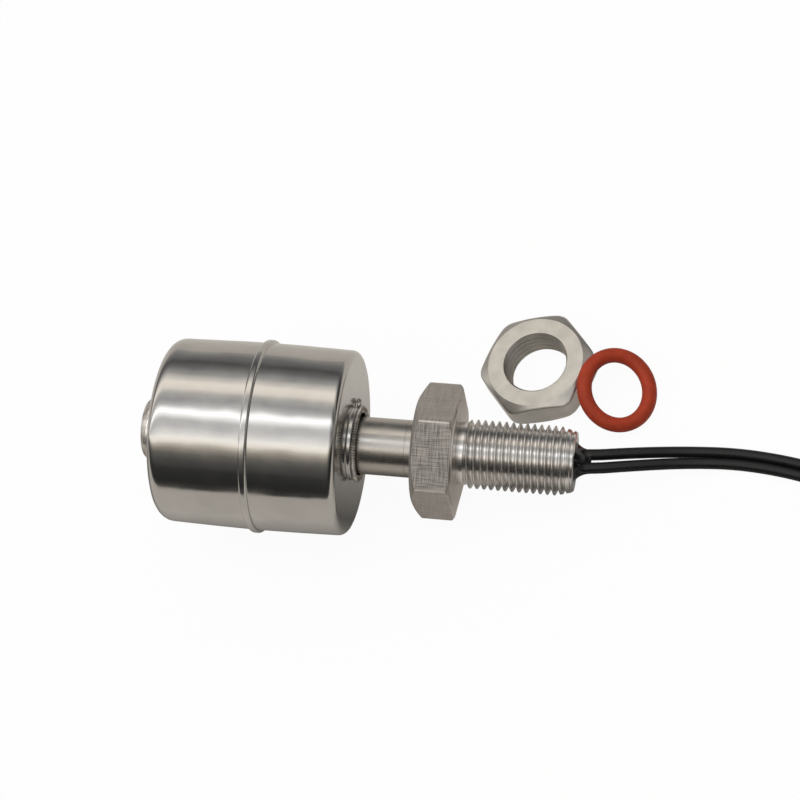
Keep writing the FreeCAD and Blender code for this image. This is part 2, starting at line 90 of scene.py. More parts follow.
class FloatSizes(bpy.types.PropertyGroup):
    """Sizes of the hollow float, measured from its seam."""

    radius: length("Radius", "Radius of the float beside its seam", 13.42)
    draft: angle("Draft", "How much each cup narrows towards its end", 1.0)
    wall: length("Wall", "Thickness of the drawn sheet", 0.2)
    depth_stop: length("Depth, stop side", "Depth of the cup towards the stop ring", 14.2)
    depth_hex: length("Depth, hexagon side", "Depth of the cup towards the hexagon", 12.85)
    corner_stop: length("Corner, stop side", "Outer rounding of the cup's end", 2.0)
    corner_hex: length("Corner, hexagon side", "Outer rounding of the cup's end", 1.0)
    lip_radius: length("Lip Radius", "Outer radius of the two lips of the seam", 13.85)
    lip_thickness: length("Lip Thickness", "Thickness of one lip of the seam", 0.55)
    lip_edge: length("Lip Edge", "Rounding of the lip's free edge", 0.33)
    lip_foot: length("Lip Foot", "Rounding at the foot of the lip", 0.09)
    tube_radius: length("Tube Radius", "Outer radius of the inner tube", 4.8)
    tube_wall: length("Tube Wall", "Wall of the inner tube", 0.25)
    collar_wall: length("Collar Wall", "Wall of the collar round the tube", 0.45)
    collar_height: length("Collar Height", "Height of the collar over the cup's end", 0.7)
    dents: length("Dents", "How far the hand polished sheet wanders from true", 0.085)


class WeldSizes(bpy.types.PropertyGroup):
    """Sizes of the weld beads."""

    width: length("Width", "Width of a bead across the tube's end", 0.62)
    height: length("Height", "Height of a bead along the tube", 0.6)
    grain: length("Grain", "Depth of the grain of a bead", 0.11)
    drop_radius: length("Drop Radius", "Radius of the drop of weld metal on the collar", 0.42)
    drop_angle: angle("Drop Angle", "Where the drop sits round the float", 26.0)


class StemSizes(bpy.types.PropertyGroup):
    """Sizes of the stem, the hexagon and the threaded stud."""

    flats: length("Across Flats", "Width of the hexagon", 16.9)
    thickness: length("Hexagon Thickness", "Thickness of the hexagon", 5.7)
    face_radius: length("Chamfer Start, stem side", "Where the first chamfer starts", 7.9)
    seal_side_radius: length("Chamfer Start, seal side", "Where the other chamfer starts", 9.3)
    chamfer: angle("Chamfer", "Slope of the hexagon's chamfers", 30.0)
    edge: length("Edge", "Rounding of the hexagon's edges", 0.24)
    seal_face_radius: length("Sealing Face Radius", "Radius of the raised sealing face", 7.55)
    seal_face_height: length("Sealing Face Height", "Height of the raised sealing face", 0.22)
    spigot_length: length("Spigot Length", "Length of the spigot that the stem butts on", 1.5)
    pilot_radius: length("Pilot Radius", "Radius of the pilot inside the stem", 3.43)
    pilot_length: length("Pilot Length", "Length of the pilot inside the stem", 4.0)
    stem_radius: length("Stem Radius", "Radius of the stem", 4.1)
    stud_radius: length("Stud Radius", "Radius over the thread's crests", 4.9)
    root_radius: length("Root Radius", "Radius at the thread's roots", 4.16)
    pitch: length("Pitch", "Pitch of the thread", 1.0)
    neck_radius: length("Neck Radius", "Radius of the undercut beside the hexagon", 4.4)
    neck_length: length("Neck Length", "Length of the undercut", 0.98)
    stud_length: length("Stud Length", "Length of the stud from the sealing face", 16.38)
    end_radius: length("End Radius", "Radius at the stud's tapered end", 4.25)
    taper_length: length("Taper Length", "Length of the stud's tapered end", 2.3)


class NutSizes(bpy.types.PropertyGroup):
    """Sizes of the lock nut."""

    flats: length("Across Flats", "Width of the nut", 15.3)
    corner_radius: length("Corner Radius", "Radius that the six corners are turned down to", 8.5)
    face_radius: length("Face Radius", "Radius of the flat ring of each face", 7.1)
    mouth_radius: length("Mouth Radius", "Radius of the countersink", 4.8)
    bore_radius: length("Bore Radius", "Radius over the inner thread's crests", 4.45)
    root_radius: length("Root Radius", "Radius at the inner thread's roots", 4.78)
    turn: angle("Turn", "Turn of the nut about its axis", 9.3)
    edge: length("Edge", "Rounding of the nut's edges", 0.3)


class SealSizes(bpy.types.PropertyGroup):
    """Sizes of the ring seal."""

    long_radius: length("Long Radius", "Half the oval's length, to the section's middle", 5.26)
    short_radius: length("Short Radius", "Half the oval's width, to the section's middle", 4.73)
    section_radius: length("Section Radius", "Radius of the section", 1.07)
    flash: length("Flash", "Height of the moulding line round the ring", 0.025)
    long_way: angle("Long Way", "Where the long side points before the ring leans", 102.9)
    lean: angle("Lean", "How steeply the ring leans on the nut", 25.3)
    lean_way: angle("Lean Way", "Where the raised side points", 164.3)


class WireSizes(bpy.types.PropertyGroup):
    """Sizes of the pair of wires and of their coil."""

    radius: length("Radius", "Radius of a wire over its insulation", 0.8)
    spacing: length("Spacing", "Distance between the wires at the stud", 2.1)
    pitch: length("Coil Pitch", "Distance between neighbouring turns", 1.62)
    inner_column: length("Inner Column", "Radius of the coil's inner column", 6.51)
    outer_column: length("Outer Column", "Radius of the coil's outer column", 9.75)
    strand_radius: length("Strand Radius", "Radius of one tinned strand", 0.15)
    length_a: length("Length A", "Real length of the inner lead", 270.0)
    length_b: length("Length B", "Real length of the outer lead", 300.0)


class Finishes(bpy.types.PropertyGroup):
    """Colours and gloss of the finishes."""

    float_steel: colour("Float Steel", "Polished sheet of the float", (0.50, 0.49, 0.475))
    stem_steel: colour("Stem Steel", "Polished tube of the stem", (0.44, 0.42, 0.39))
    hex_steel: colour("Hexagon Steel", "Milled faces of the hexagon", (0.455, 0.428, 0.405))
    thread_steel: colour("Thread Steel", "Cut thread", (0.68, 0.665, 0.65))
    nut_steel: colour("Nut Steel", "Faced nut", (0.54, 0.52, 0.485))
    weld_steel: colour("Weld Steel", "Weld metal, left as laid", (0.52, 0.49, 0.46))
    seal_rubber: colour("Seal Rubber", "Silicone of the ring seal", (0.36, 0.042, 0.016))
    insulation: colour("Insulation", "Sleeve of the wires", (0.008, 0.008, 0.009))
    resin: colour("Resin", "Potting resin", (0.006, 0.006, 0.007))
    float_roughness: factor("Float Roughness", "Roughness of the polished float", 0.13)
    stem_roughness: factor("Stem Roughness", "Roughness of the polished stem", 0.27)
    hex_roughness: factor("Hexagon Roughness", "Roughness of the milled hexagon", 0.68)
    thread_roughness: factor("Thread Roughness", "Roughness of the cut thread", 0.2)
    nut_roughness: factor("Nut Roughness", "Roughness of the faced nut", 0.36)


class StageSettings(bpy.types.PropertyGroup):
    """Camera, floor and light."""

    lens: FloatProperty(name="Lens", description="Focal length on a 36 mm wide sensor",
                        default=97.72, unit="CAMERA", subtype="DISTANCE_CAMERA")
    roll: angle("Roll", "Turn of the camera about its line of sight", -34.18)
    floor_size: length("Floor Size", "Width of the floor", 3000.0)
    floor_glow: factor("Floor Glow", "How evenly white the floor looks", 0.95)
    card_size: length("Card Size", "How far to the front metal sees the pale floor", 165.0)
    card_brightness: factor("Card Brightness", "Brightness of the floor as metal sees it", 0.68)


# Frames of the stem, the float and the loose pieces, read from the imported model

def axis_frame(origin, axis):
    """A matrix whose X runs along the axis, with Y level across it."""
    x = Vector(axis).normalized()
    y = Vector((0, 0, 1)).cross(x).normalized()
    z = x.cross(y)
    turn = Matrix((x, y, z)).transposed()
    return Matrix.Translation(origin) @ turn.to_4x4()


def mount(name):
    return next(m for m in frame["record"]["mounts"] if m["name"] == name)


def middle(node):
    low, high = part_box(node)
    return (low + high) / 2


def stem_frame():
    """Origin at the centre of the sealing face, X towards the thread's end."""
    on_axis = Vector(mount("thread")["pos_m"])
    axis = Vector(mount("thread")["axis"]).normalized()
    on_face = Vector(mount("seat_face")["pos_m"])
    return axis_frame(on_axis + axis * (on_face - on_axis).dot(axis), axis)


def float_frame():
    """Origin at the middle of the seam, X towards the hexagon."""
    axis = middle("spacer_hex_side") - middle("spacer_stop_side")
    return axis_frame(middle("ring_magnet"), axis)


STEM = stem_frame()
FLOAT = float_frame()
NUT_LOW, NUT_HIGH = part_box("lock_nut")
UNDER_FACE = Vector((STEM.translation.x, STEM.translation.y, 0))


# Mesh helpers

def add_object(name, data):
    piece = bpy.data.objects.new(name, data)
    bpy.context.scene.collection.objects.link(piece)
    return piece


def mesh_from(bm, name):
    """Write a bmesh to a new mesh and free it."""
    mesh = bpy.data.meshes.new(name)
    bm.to_mesh(mesh)
    bm.free()
    return mesh


def finish_mesh(bm, name, matrix, sharp=35.0):
    """Write a bmesh as a piece, smooth but for its sharp edges, with faces outwards."""
    bmesh.ops.remove_doubles(bm, verts=bm.verts, dist=MERGE_DISTANCE)
    bmesh.ops.recalc_face_normals(bm, faces=bm.faces)
    for face in bm.faces:
        face.smooth = True
    for edge in bm.edges:
        if len(edge.link_faces) == 2:
            edge.smooth = edge.calc_face_angle() < math.radians(sharp)
    mesh = mesh_from(bm, name)
    mesh.transform(matrix)
    return add_object(name, mesh)


def arc_corner(before, at, after, rounding, steps):
    """Points of the arc that rounds one corner of an outline."""
    back = (before - at).normalized()
    on = (after - at).normalized()
    half = back.angle(on) / 2
    reach = rounding / math.tan(half)
    centre = at + (back + on).normalized() * (rounding / math.sin(half))
    start = at + back * reach - centre
    end = at + on * reach - centre
    sweep = start.angle(end)
    points = []
    for i in range(steps + 1):
        t = i / steps
        a = math.sin((1 - t) * sweep) / math.sin(sweep)
        b = math.sin(t * sweep) / math.sin(sweep)
        points.append(centre + start * a + end * b)
    return points


def outline(corners, steps=6, spacing=0.4 * MM):
    """A closed outline from corners (s, r) or (s, r, rounding), with long runs divided."""
    points = [Vector((c[0], c[1])) for c in corners]
    rough = []
    for i, corner in enumerate(corners):
        if len(corner) < 3:
            rough.append(points[i])
            continue
        after = points[(i + 1) % len(points)]
        rough += arc_corner(points[i - 1], points[i], after, corner[2], steps)
    fine = []
    for i, point in enumerate(rough):
        after = rough[(i + 1) % len(rough)]
        parts = max(1, round((after - point).length / spacing))
        fine += [point.lerp(after, k / parts) for k in range(parts)]
    return fine


def turns(count):
    """Evenly spaced angles round an axis."""
    return [2 * math.pi * k / count for k in range(count)]


def ring_point(s, radius, turn):
    """The point at s along X, at a distance from that axis and some way round it."""
    return Vector((s, radius * math.cos(turn), radius * math.sin(turn)))


def join_rings(bm, a, b):
    """A band of faces between two closed rings of points."""
    for i in range(len(a)):
        j = (i + 1) % len(a)
        bm.faces.new((a[i], a[j], b[j], b[i]))


def join_round(bm, rings):
    """Bands of faces from each ring to the next, and from the last to the first."""
    for a, b in zip(rings, rings[1:] + rings[:1]):
        join_rings(bm, a, b)


def turned(loop, columns, bend=None):
    """A closed ring turned from an outline about X; bend moves each point if given."""
    bm = bmesh.new()
    sections = []
    for turn in turns(columns):
        points = [ring_point(s, r, turn) for s, r in loop]
        sections.append([bm.verts.new(bend(point) if bend else point) for point in points])
    join_round(bm, sections)
    return bm


def soft_min(values, edge):
    """The least of some lengths, with the change from one to the next rounded over an edge."""
    least = min(values)
    blend = edge / 3
    return least - blend * math.log(sum(math.exp((least - v) / blend) for v in values))


def hex_reach(turn, flats, first):
    """Distances from the axis to the faces of a hexagonal bar that look in one direction."""
    facing = 0.3
    shares = [math.cos(turn - first - i * math.pi / 3) for i in range(6)]
    return [flats / 2 / share for share in shares if share > facing]


def milled_bar(rows, columns, reach):
    """Rings of points about X; reach(s, turn) gives each point's distance from the axis."""
    bm = bmesh.new()
    rings = []
    for s in rows:
        points = [ring_point(s, reach(s, turn), turn) for turn in turns(columns)]
        rings.append([bm.verts.new(point) for point in points])
    for a, b in zip(rings, rings[1:]):
        join_rings(bm, a, b)
    return bm, rings


def close_to_ring(bm, edge_ring, s, radius):
    """A band of faces from a ring of points to a circle; returns the circle."""
    circle = [bm.verts.new(ring_point(s, radius, turn)) for turn in turns(len(edge_ring))]
    join_rings(bm, edge_ring, circle)
    return circle


# Node helpers

def add_node(tree, kind, inputs=(), **settings):
    """A node with its settings and inputs; an input is a value or another node's socket."""
    node = tree.nodes.new(kind)
    for key, value in settings.items():
        setattr(node, key, value)
    for key, value in dict(inputs).items():
        if isinstance(value, bpy.types.NodeSocket):
            tree.links.new(value, node.inputs[key])
        else:
            node.inputs[key].default_value = value
    return node


def calc(tree, operation, a, b=0.0, c=0.0):
    """A Math node of a shader or geometry tree."""
    node = add_node(tree, "ShaderNodeMath", {0: a, 1: b, 2: c}, operation=operation)
    return node.outputs[0]


def product(tree, a, b):
    return calc(tree, "MULTIPLY", a, b)


def split(tree, vector):
    """The X, Y and Z of a vector."""
    return add_node(tree, "ShaderNodeSeparateXYZ", {0: vector}).outputs


def new_tree(name, kinds):
    """A geometry tree with inputs named under their kinds; returns it and its input node."""
    tree = bpy.data.node_groups.new(name, "GeometryNodeTree")
    tree.interface.new_socket("Geometry", in_out="OUTPUT", socket_type="NodeSocketGeometry")
    for kind, titles in kinds.items():
        for title in titles:
            tree.interface.new_socket(title, in_out="INPUT", socket_type="NodeSocket" + kind)
    return tree, add_node(tree, "NodeGroupInput")


def end_tree(tree, source, geometry):
    """Realize the result, give it its material and hand it out."""
    real = add_node(tree, "GeometryNodeRealizeInstances", {"Geometry": geometry})
    smooth = add_node(tree, "GeometryNodeSetShadeSmooth", {"Geometry": real.outputs[0]})
    finish = add_node(tree, "GeometryNodeSetMaterial",
                      {"Geometry": smooth.outputs[0], "Material": source.outputs["Material"]})
    add_node(tree, "NodeGroupOutput", {"Geometry": finish.outputs[0]})


def grown_mesh(name, tree, values):
    """Run a geometry tree with the given inputs and return its result as a plain mesh."""
    host = add_object(name + "_host", bpy.data.meshes.new(name + "_host"))
    modifier = host.modifiers.new(name, "NODES")
    modifier.node_group = tree
    for item in tree.interface.items_tree:
        if item.in_out == "INPUT" and item.name in values:
            modifier[item.identifier] = values[item.name]
    graph = bpy.context.evaluated_depsgraph_get()
    mesh = bpy.data.meshes.new_from_object(host.evaluated_get(graph))
    mesh.name = name
    host.modifiers.remove(modifier)
    bpy.data.objects.remove(host)
    if not mesh.polygons:
        raise RuntimeError(name + " came out empty")
    return mesh


# Geometry trees

# Shares of the pitch: where the crest ends and the root starts, from the crest's middle
CREST_END = 0.06
ROOT_START = 0.42


def thread_tree():
    """A solid cylinder about Z whose side is cut by a thread and limited at both ends."""
    tree, source = new_tree("thread", {
        "Float": ["Crest Radius", "Root Radius", "Pitch", "Length", "Low Radius", "Low Length",
                  "High Radius", "High Slope"],
        "Bool": ["Inside"], "Int": ["Columns", "Rows"], "Material": ["Material"]})
    value = source.outputs
    grid = add_node(tree, "GeometryNodeMeshCylinder", {
        "Vertices": value["Columns"], "Side Segments": value["Rows"], "Fill Segments": 1,
        "Radius": 1.0, "Depth": value["Length"]})
    axes = split(tree, add_node(tree, "GeometryNodeInputPosition").outputs[0])
    height = calc(tree, "MULTIPLY_ADD", value["Length"], 0.5, axes["Z"])
    turn = calc(tree, "ARCTAN2", axes["Y"], axes["X"])
    along = calc(tree, "DIVIDE", height, value["Pitch"])
    climb = calc(tree, "ADD", along, product(tree, turn, -0.5 / math.pi))
    cut = add_node(tree, "ShaderNodeMapRange", {
        "Value": calc(tree, "PINGPONG", climb, 0.5), "From Min": CREST_END, "From Max": ROOT_START,
        "To Min": value["Crest Radius"], "To Max": value["Root Radius"]}).outputs[0]
    from_low = calc(tree, "MAXIMUM", calc(tree, "SUBTRACT", height, value["Low Length"]), 0.0)
    from_end = calc(tree, "SUBTRACT", value["Length"], height)
    from_high = product(tree, from_end, value["High Slope"])
    low_limit = calc(tree, "ADD", value["Low Radius"], from_low)
    high_limit = calc(tree, "ADD", value["High Radius"], from_high)
    low_inner = calc(tree, "SUBTRACT", value["Low Radius"], from_low)
    high_inner = calc(tree, "SUBTRACT", value["High Radius"], from_high)
    run_out = calc(tree, "MAXIMUM", cut, low_inner)
    outer = calc(tree, "MINIMUM", calc(tree, "MINIMUM", run_out, low_limit), high_limit)
    inner = calc(tree, "MAXIMUM", run_out, high_inner)
    radius = add_node(tree, "GeometryNodeSwitch", {
        "Switch": value["Inside"], "False": outer, "True": inner}, input_type="FLOAT").outputs[0]
    target = add_node(tree, "ShaderNodeCombineXYZ", {
        "X": product(tree, axes["X"], radius), "Y": product(tree, axes["Y"], radius), "Z": height})
    shaped = add_node(tree, "GeometryNodeSetPosition", {
        "Geometry": grid.outputs["Mesh"], "Position": target.outputs[0]})
    end_tree(tree, source, shaped.outputs[0])
    return tree


# Points along a bead and round its section
BEAD_COLUMNS = 832
BEAD_SECTION = 18
# How much of a bead's grain is even ripples, how much is random lumps, and how fine those are
RIPPLE_SHARE = 0.9
LUMP_SHARE = 0.6
LUMP_SCALE = 2600.0


def bead_tree():
    """A grainy, rippled weld bead laid round a circle about Z."""
    tree, source = new_tree("weld_bead", {
        "Float": ["Radius", "Width", "Height", "Grain", "Seed"], "Int": ["Ripples"],
        "Material": ["Material"]})
    value = source.outputs
    path = add_node(tree, "GeometryNodeCurvePrimitiveCircle",
                    {"Resolution": BEAD_COLUMNS, "Radius": value["Radius"]}, mode="RADIUS")
    section = add_node(tree, "GeometryNodeCurvePrimitiveCircle",
                       {"Resolution": BEAD_SECTION, "Radius": 0.5}, mode="RADIUS")
    size = add_node(tree, "ShaderNodeCombineXYZ",
                    {"X": value["Width"], "Y": value["Height"], "Z": 1.0})
    oval = add_node(tree, "GeometryNodeTransform",
                    {"Geometry": section.outputs["Curve"], "Scale": size.outputs[0]})
    tube = add_node(tree, "GeometryNodeCurveToMesh",
                    {"Curve": path.outputs["Curve"], "Profile Curve": oval.outputs[0]})
    place = add_node(tree, "GeometryNodeInputPosition").outputs[0]
    axes = split(tree, place)
    turn = calc(tree, "ARCTAN2", axes["Y"], axes["X"])
    ripple = calc(tree, "SINE", product(tree, turn, value["Ripples"]))
    grain = add_node(tree, "ShaderNodeTexNoise", {
        "Vector": place, "W": value["Seed"], "Scale": LUMP_SCALE, "Detail": 3.0,
        "Roughness": 0.6}, noise_dimensions="4D")
    lump = calc(tree, "MULTIPLY_ADD", grain.outputs[0], 2.0, -1.0)
    share = calc(tree, "MULTIPLY_ADD", ripple, RIPPLE_SHARE, product(tree, lump, LUMP_SHARE))
    rise = product(tree, share, value["Grain"])
    out = add_node(tree, "GeometryNodeInputNormal")
    push = add_node(tree, "ShaderNodeVectorMath", {0: out.outputs[0], "Scale": rise},
                    operation="SCALE")
    shaped = add_node(tree, "GeometryNodeSetPosition",
                      {"Geometry": tube.outputs["Mesh"], "Offset": push.outputs[0]})
    end_tree(tree, source, shaped.outputs[0])
    return tree


# Materials

def start_material(name, rgb, metallic, roughness):
    material = bpy.data.materials.new(name)
    material.use_nodes = True
    tree = material.node_tree
    shader = tree.nodes["Principled BSDF"]
    shader.inputs["Base Color"].default_value = (*rgb, 1.0)
    shader.inputs["Metallic"].default_value = metallic
    shader.inputs["Roughness"].default_value = roughness
    return material, tree, shader


def object_place(tree, matrix=None, scale=(1.0, 1.0, 1.0)):
    """Object coordinates, turned into a piece's own frame when a matrix is given."""
    source = add_node(tree, "ShaderNodeTexCoord").outputs["Object"]
    if matrix is not None:
        back = matrix.inverted()
        source = add_node(tree, "ShaderNodeMapping", {
            "Vector": source, "Location": back.translation, "Rotation": back.to_euler()}).outputs[0]
    return add_node(tree, "ShaderNodeMapping", {"Vector": source, "Scale": scale}).outputs[0]


def noise_value(tree, vector, scale, detail=3.0, roughness=0.5):
    return add_node(tree, "ShaderNodeTexNoise", {
        "Vector": vector, "Scale": scale, "Detail": detail, "Roughness": roughness}).outputs[0]


def spread(tree, value, low, high, at_low=0.3, at_high=0.7):
    """Map a value to a range and hold it at both ends."""
    node = add_node(tree, "ShaderNodeMapRange", {
        "Value": value, "From Min": at_low, "From Max": at_high, "To Min": low, "To Max": high})
    return node.outputs[0]


def tint(tree, value, dark, light, at_low=0.3, at_high=0.7):
    """A colour between two, chosen by a noise value."""
    share = spread(tree, value, 0.0, 1.0, at_low, at_high)
    node = add_node(tree, "ShaderNodeMix", {"Factor": share}, data_type="RGBA")
    node.inputs[6].default_value = (*dark, 1.0)
    node.inputs[7].default_value = (*light, 1.0)
    return node.outputs[2]


def scaled(rgb, share):
    return tuple(min(1.0, c * share) for c in rgb)


def bump(tree, shader, value, distance):
    node = add_node(tree, "ShaderNodeBump", {
        "Height": value, "Distance": distance, "Strength": 1.0})
    tree.links.new(node.outputs[0], shader.inputs["Normal"])


def vary_colour(tree, shader, value, rgb, dark, light):
    """Shade the colour between two shares of itself."""
    shades = tint(tree, value, scaled(rgb, dark), scaled(rgb, light))
    tree.links.new(shades, shader.inputs["Base Color"])


def vary_roughness(tree, shader, value, low, high):
    tree.links.new(spread(tree, value, low, high), shader.inputs["Roughness"])


def polished_steel(name, rgb, roughness, matrix, grain=(0.2, 1.0, 1.0)):
    """Polished steel: faint scratches round the piece and a slightly uneven gloss."""
    material, tree, shader = start_material(name, rgb, 1.0, roughness)
    haze = noise_value(tree, object_place(tree, matrix), scale=260.0, detail=4.0)
    scratches = noise_value(tree, object_place(tree, matrix, grain), scale=5200.0, detail=2.0)
    vary_colour(tree, shader, haze, rgb, 0.93, 1.05)
    vary_roughness(tree, shader, haze, roughness * 0.75, roughness * 1.3)
    bump(tree, shader, scratches, 0.0012 * MM)
    return material


# The milled hexagon: how far inside its corners it is worn bright and painted with a highlight,
# and where its turned face starts behind the hexagon's end
WEAR_AND_GLINT_FROM = 0.13 * MM
WEAR_AND_GLINT_FULL = 0.06 * MM
FACE_FROM = 0.05 * MM
FACE_FULL = 0.01 * MM
# The facet with the strong brush marks: which way it looks in Y and Z, and where it ends, as
# shares of the corner's radius that way
FACET_WAY = (-0.5, 0.866)
FACET_FROM = 0.81
FACET_FULL = 0.855
# How much calmer the marks are on the other facets, and how much brighter painted light makes them
FLANK_CALM = 0.65
FLANK_PAINTED_LIGHT = 0.1
# Between what sums of two noises a mark runs, and the shares of the steel's own colour in the
# marks and where it is worn and painted with a highlight
MARK_RANGE = (0.8, 1.2)
MARK_DARK = 0.46
MARK_LIGHT = 1.4
WEAR_AND_GLINT_LIGHT = 2.0
WEAR_AND_GLINT_SHARE = 0.8
# How bright the turned face is, as a share of the corners' worn and highlight colour, and how much
# glossier
FACE_SHARE = 0.3
FACE_GLOSS = 0.5


def brush_marks_and_painted_light(tree, matrix, axes, corner):
    """Crossing brush marks about 1, strong on one facet, calm elsewhere and lifted there by painted
    light.
    """
    along, across = [
        noise_value(tree, object_place(tree, matrix, stretch), scale=7600.0, detail=2.0)
        for stretch in ((0.05, 1.0, 1.0), (1.0, 0.05, 0.05))]
    way_y, way_z = FACET_WAY
    upward = calc(tree, "MULTIPLY_ADD", axes["Y"], way_y, product(tree, axes["Z"], way_z))
    flank = spread(tree, upward, 1.0, 0.0, corner * FACET_FROM, corner * FACET_FULL)
    marks = calc(tree, "SUBTRACT", calc(tree, "ADD", along, across), 1.0)
    calmed = product(tree, marks, calc(tree, "MULTIPLY_ADD", flank, -FLANK_CALM, 1.0))
    # Painted light: the other facets come out a little brighter
    return calc(tree, "ADD", calmed, calc(tree, "MULTIPLY_ADD", flank, FLANK_PAINTED_LIGHT, 1.0))


def brushed_steel(name, rgb, roughness, matrix, corner, face):
    """Milled steel with crossing brush marks, a worn, painted highlight at its corners, turned at
    its face.
    """
    material, tree, shader = start_material(name, rgb, 1.0, roughness)
    axes = split(tree, object_place(tree, matrix))
    square = calc(tree, "MULTIPLY_ADD", axes["Y"], axes["Y"], product(tree, axes["Z"], axes["Z"]))
    from_axis = calc(tree, "SQRT", square)
    # Wear and a painted highlight: the colour grows lighter towards the hexagon's corners
    wear_and_glint = spread(tree, from_axis, 0.0, WEAR_AND_GLINT_SHARE, corner - WEAR_AND_GLINT_FROM, corner - WEAR_AND_GLINT_FULL)
    faced = spread(tree, axes["X"], 0.0, 1.0, face - FACE_FROM, face - FACE_FULL)
    # Brush marks, with the other facets lifted by painted light
    marks = brush_marks_and_painted_light(tree, matrix, axes, corner)
    brushed = tint(tree, marks, scaled(rgb, MARK_DARK), scaled(rgb, MARK_LIGHT), *MARK_RANGE)
    bright = calc(tree, "MAXIMUM", wear_and_glint, product(tree, faced, FACE_SHARE))
    base = add_node(tree, "ShaderNodeMix", {"Factor": bright, 6: brushed}, data_type="RGBA")
    base.inputs[7].default_value = (*scaled(rgb, WEAR_AND_GLINT_LIGHT), 1.0)
    tree.links.new(base.outputs[2], shader.inputs["Base Color"])
    dull = spread(tree, marks, roughness * 0.85, roughness * 1.15, *MARK_RANGE)
    gloss = product(tree, dull, calc(tree, "MULTIPLY_ADD", faced, -FACE_GLOSS, 1.0))
    tree.links.new(gloss, shader.inputs["Roughness"])
    bump(tree, shader, marks, 0.008 * MM)
    return material


def turned_steel(name, rgb, roughness, matrix):
    """Steel straight off the lathe: fine lines round the axis."""
    material, tree, shader = start_material(name, rgb, 1.0, roughness)
    round_axis = object_place(tree, matrix, (1.0, 0.04, 0.04))
    lines = noise_value(tree, round_axis, scale=7000.0, detail=2.0)
    haze = noise_value(tree, object_place(tree, matrix), scale=420.0, detail=4.0)
    vary_colour(tree, shader, haze, rgb, 0.88, 1.08)
    vary_roughness(tree, shader, lines, roughness * 0.85, roughness * 1.15)
    bump(tree, shader, lines, 0.003 * MM)
    return material


def weld_metal(name, rgb, matrix):
    """Weld metal with heat tint and a granular skin."""
    material, tree, shader = start_material(name, rgb, 1.0, 0.34)
    place = object_place(tree, matrix)
    grain = noise_value(tree, place, scale=3800.0, detail=4.0, roughness=0.65)
    vary_colour(tree, shader, noise_value(tree, place, scale=700.0, detail=2.0), rgb, 0.6, 1.5)
    vary_roughness(tree, shader, grain, 0.22, 0.5)
    bump(tree, shader, grain, 0.05 * MM)
    return material


def plain_finish(name, rgb, roughness, metallic=0.0, scale=900.0, depth=0.01 * MM):
    """A plain surface with slight mottling, for plastic, resin, solder and small metal parts."""
    material, tree, shader = start_material(name, rgb, metallic, roughness)
    mottle = noise_value(tree, object_place(tree), scale, detail=4.0)
    vary_colour(tree, shader, mottle, rgb, 0.88, 1.1)
    vary_roughness(tree, shader, mottle, roughness * 0.85, roughness * 1.15)
    bump(tree, shader, mottle, depth)
    return material


def silicone(name, rgb):
    """Moulded silicone: matte with pinhead specks and faint flow marks."""
    material, tree, shader = start_material(name, rgb, 0.0, 0.5)
    place = object_place(tree)
    mottle = noise_value(tree, place, scale=500.0, detail=5.0)
    specks = noise_value(tree, place, scale=5200.0, detail=2.0)
    vary_colour(tree, shader, mottle, rgb, 0.86, 1.12)
    vary_roughness(tree, shader, specks, 0.42, 0.6)
    bump(tree, shader, calc(tree, "MULTIPLY_ADD", specks, 0.4, mottle), 0.02 * MM)
    shader.inputs["Specular IOR Level"].default_value = 0.2
    return material


def clear_glass(name, rgb):
    material, tree, shader = start_material(name, rgb, 0.0, 0.04)
    streaks = noise_value(tree, object_place(tree), scale=600.0, detail=2.0)
    bump(tree, shader, streaks, 0.004 * MM)
    shader.inputs["Transmission Weight"].default_value = 0.9
    shader.inputs["IOR"].default_value = 1.48
    return material


def put_on(piece, material):
    piece.data.materials.clear()
    piece.data.materials.append(material)


def dress_node(node, material):
    """Give a CAD node kept as it is its procedural material."""
    put_on(frame["nodes"][node], material)


def seat(piece, body, slot, *nodes):
    """Ride a finished piece on its body, in place of the CAD nodes that it stands for."""
    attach(piece, body)
    if nodes:
        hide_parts(*nodes)


# The float

# The rounding at the foot of a cup's collar and at its rim, and the points round a cup
COLLAR_FOOT = 0.2 * MM
COLLAR_RIM = 0.3 * MM
CUP_COLUMNS = 240
# Inside this share of the radius a cup's end stays true, so that its collar stays round
TRUE_SHARE = 0.6
# The waves of the dents: how strong, how tight and how far shifted
DENT_WAVES = [(1.0, 90.0, (0, 0, 0)), (0.36, 250.0, (7.0, 3.0, 1.0)), (0.09, 560.0, (0, 0, 0))]


def wander(point):
    """How far the hand polished sheet is off true at a point, about -1 to 1."""
    return sum(strong * noise.noise(point * tight + Vector(shift))
               for strong, tight, shift in DENT_WAVES)


def dented(sizes):
    """A function that moves a point of the cup in or out by its dents."""
    def bend(point):
        r = math.hypot(point.y, point.z)
        if r < sizes.radius * TRUE_SHARE:
            return point
        share = 1 + wander(point) * sizes.dents / r
        return Vector((point.x, point.y * share, point.z * share))
    return bend


def cup_outline(sizes, depth, corner):
    """Section of one cup with its seam lip at zero and its collar at the far end."""
    fall = math.tan(sizes.draft)
    end = sizes.radius - depth * fall
    foot = sizes.radius - sizes.lip_thickness * fall
    collar = sizes.tube_radius + sizes.collar_wall
    top = depth + sizes.collar_height
    inside = depth - sizes.wall
    return outline([
        (0, sizes.lip_radius), (sizes.lip_thickness, sizes.lip_radius, sizes.lip_edge),
        (sizes.lip_thickness, foot, sizes.lip_foot), (depth, end, corner),
        (depth, collar, COLLAR_FOOT), (top, collar, COLLAR_RIM), (top, sizes.tube_radius),
        (inside, sizes.tube_radius), (inside, end - sizes.wall, corner - sizes.wall),
        (0, sizes.radius - sizes.wall)])


def make_cup(name, sizes, depth, corner, matrix):
    bm = turned(cup_outline(sizes, depth, corner), CUP_COLUMNS, dented(sizes))
    return finish_mesh(bm, name, matrix)


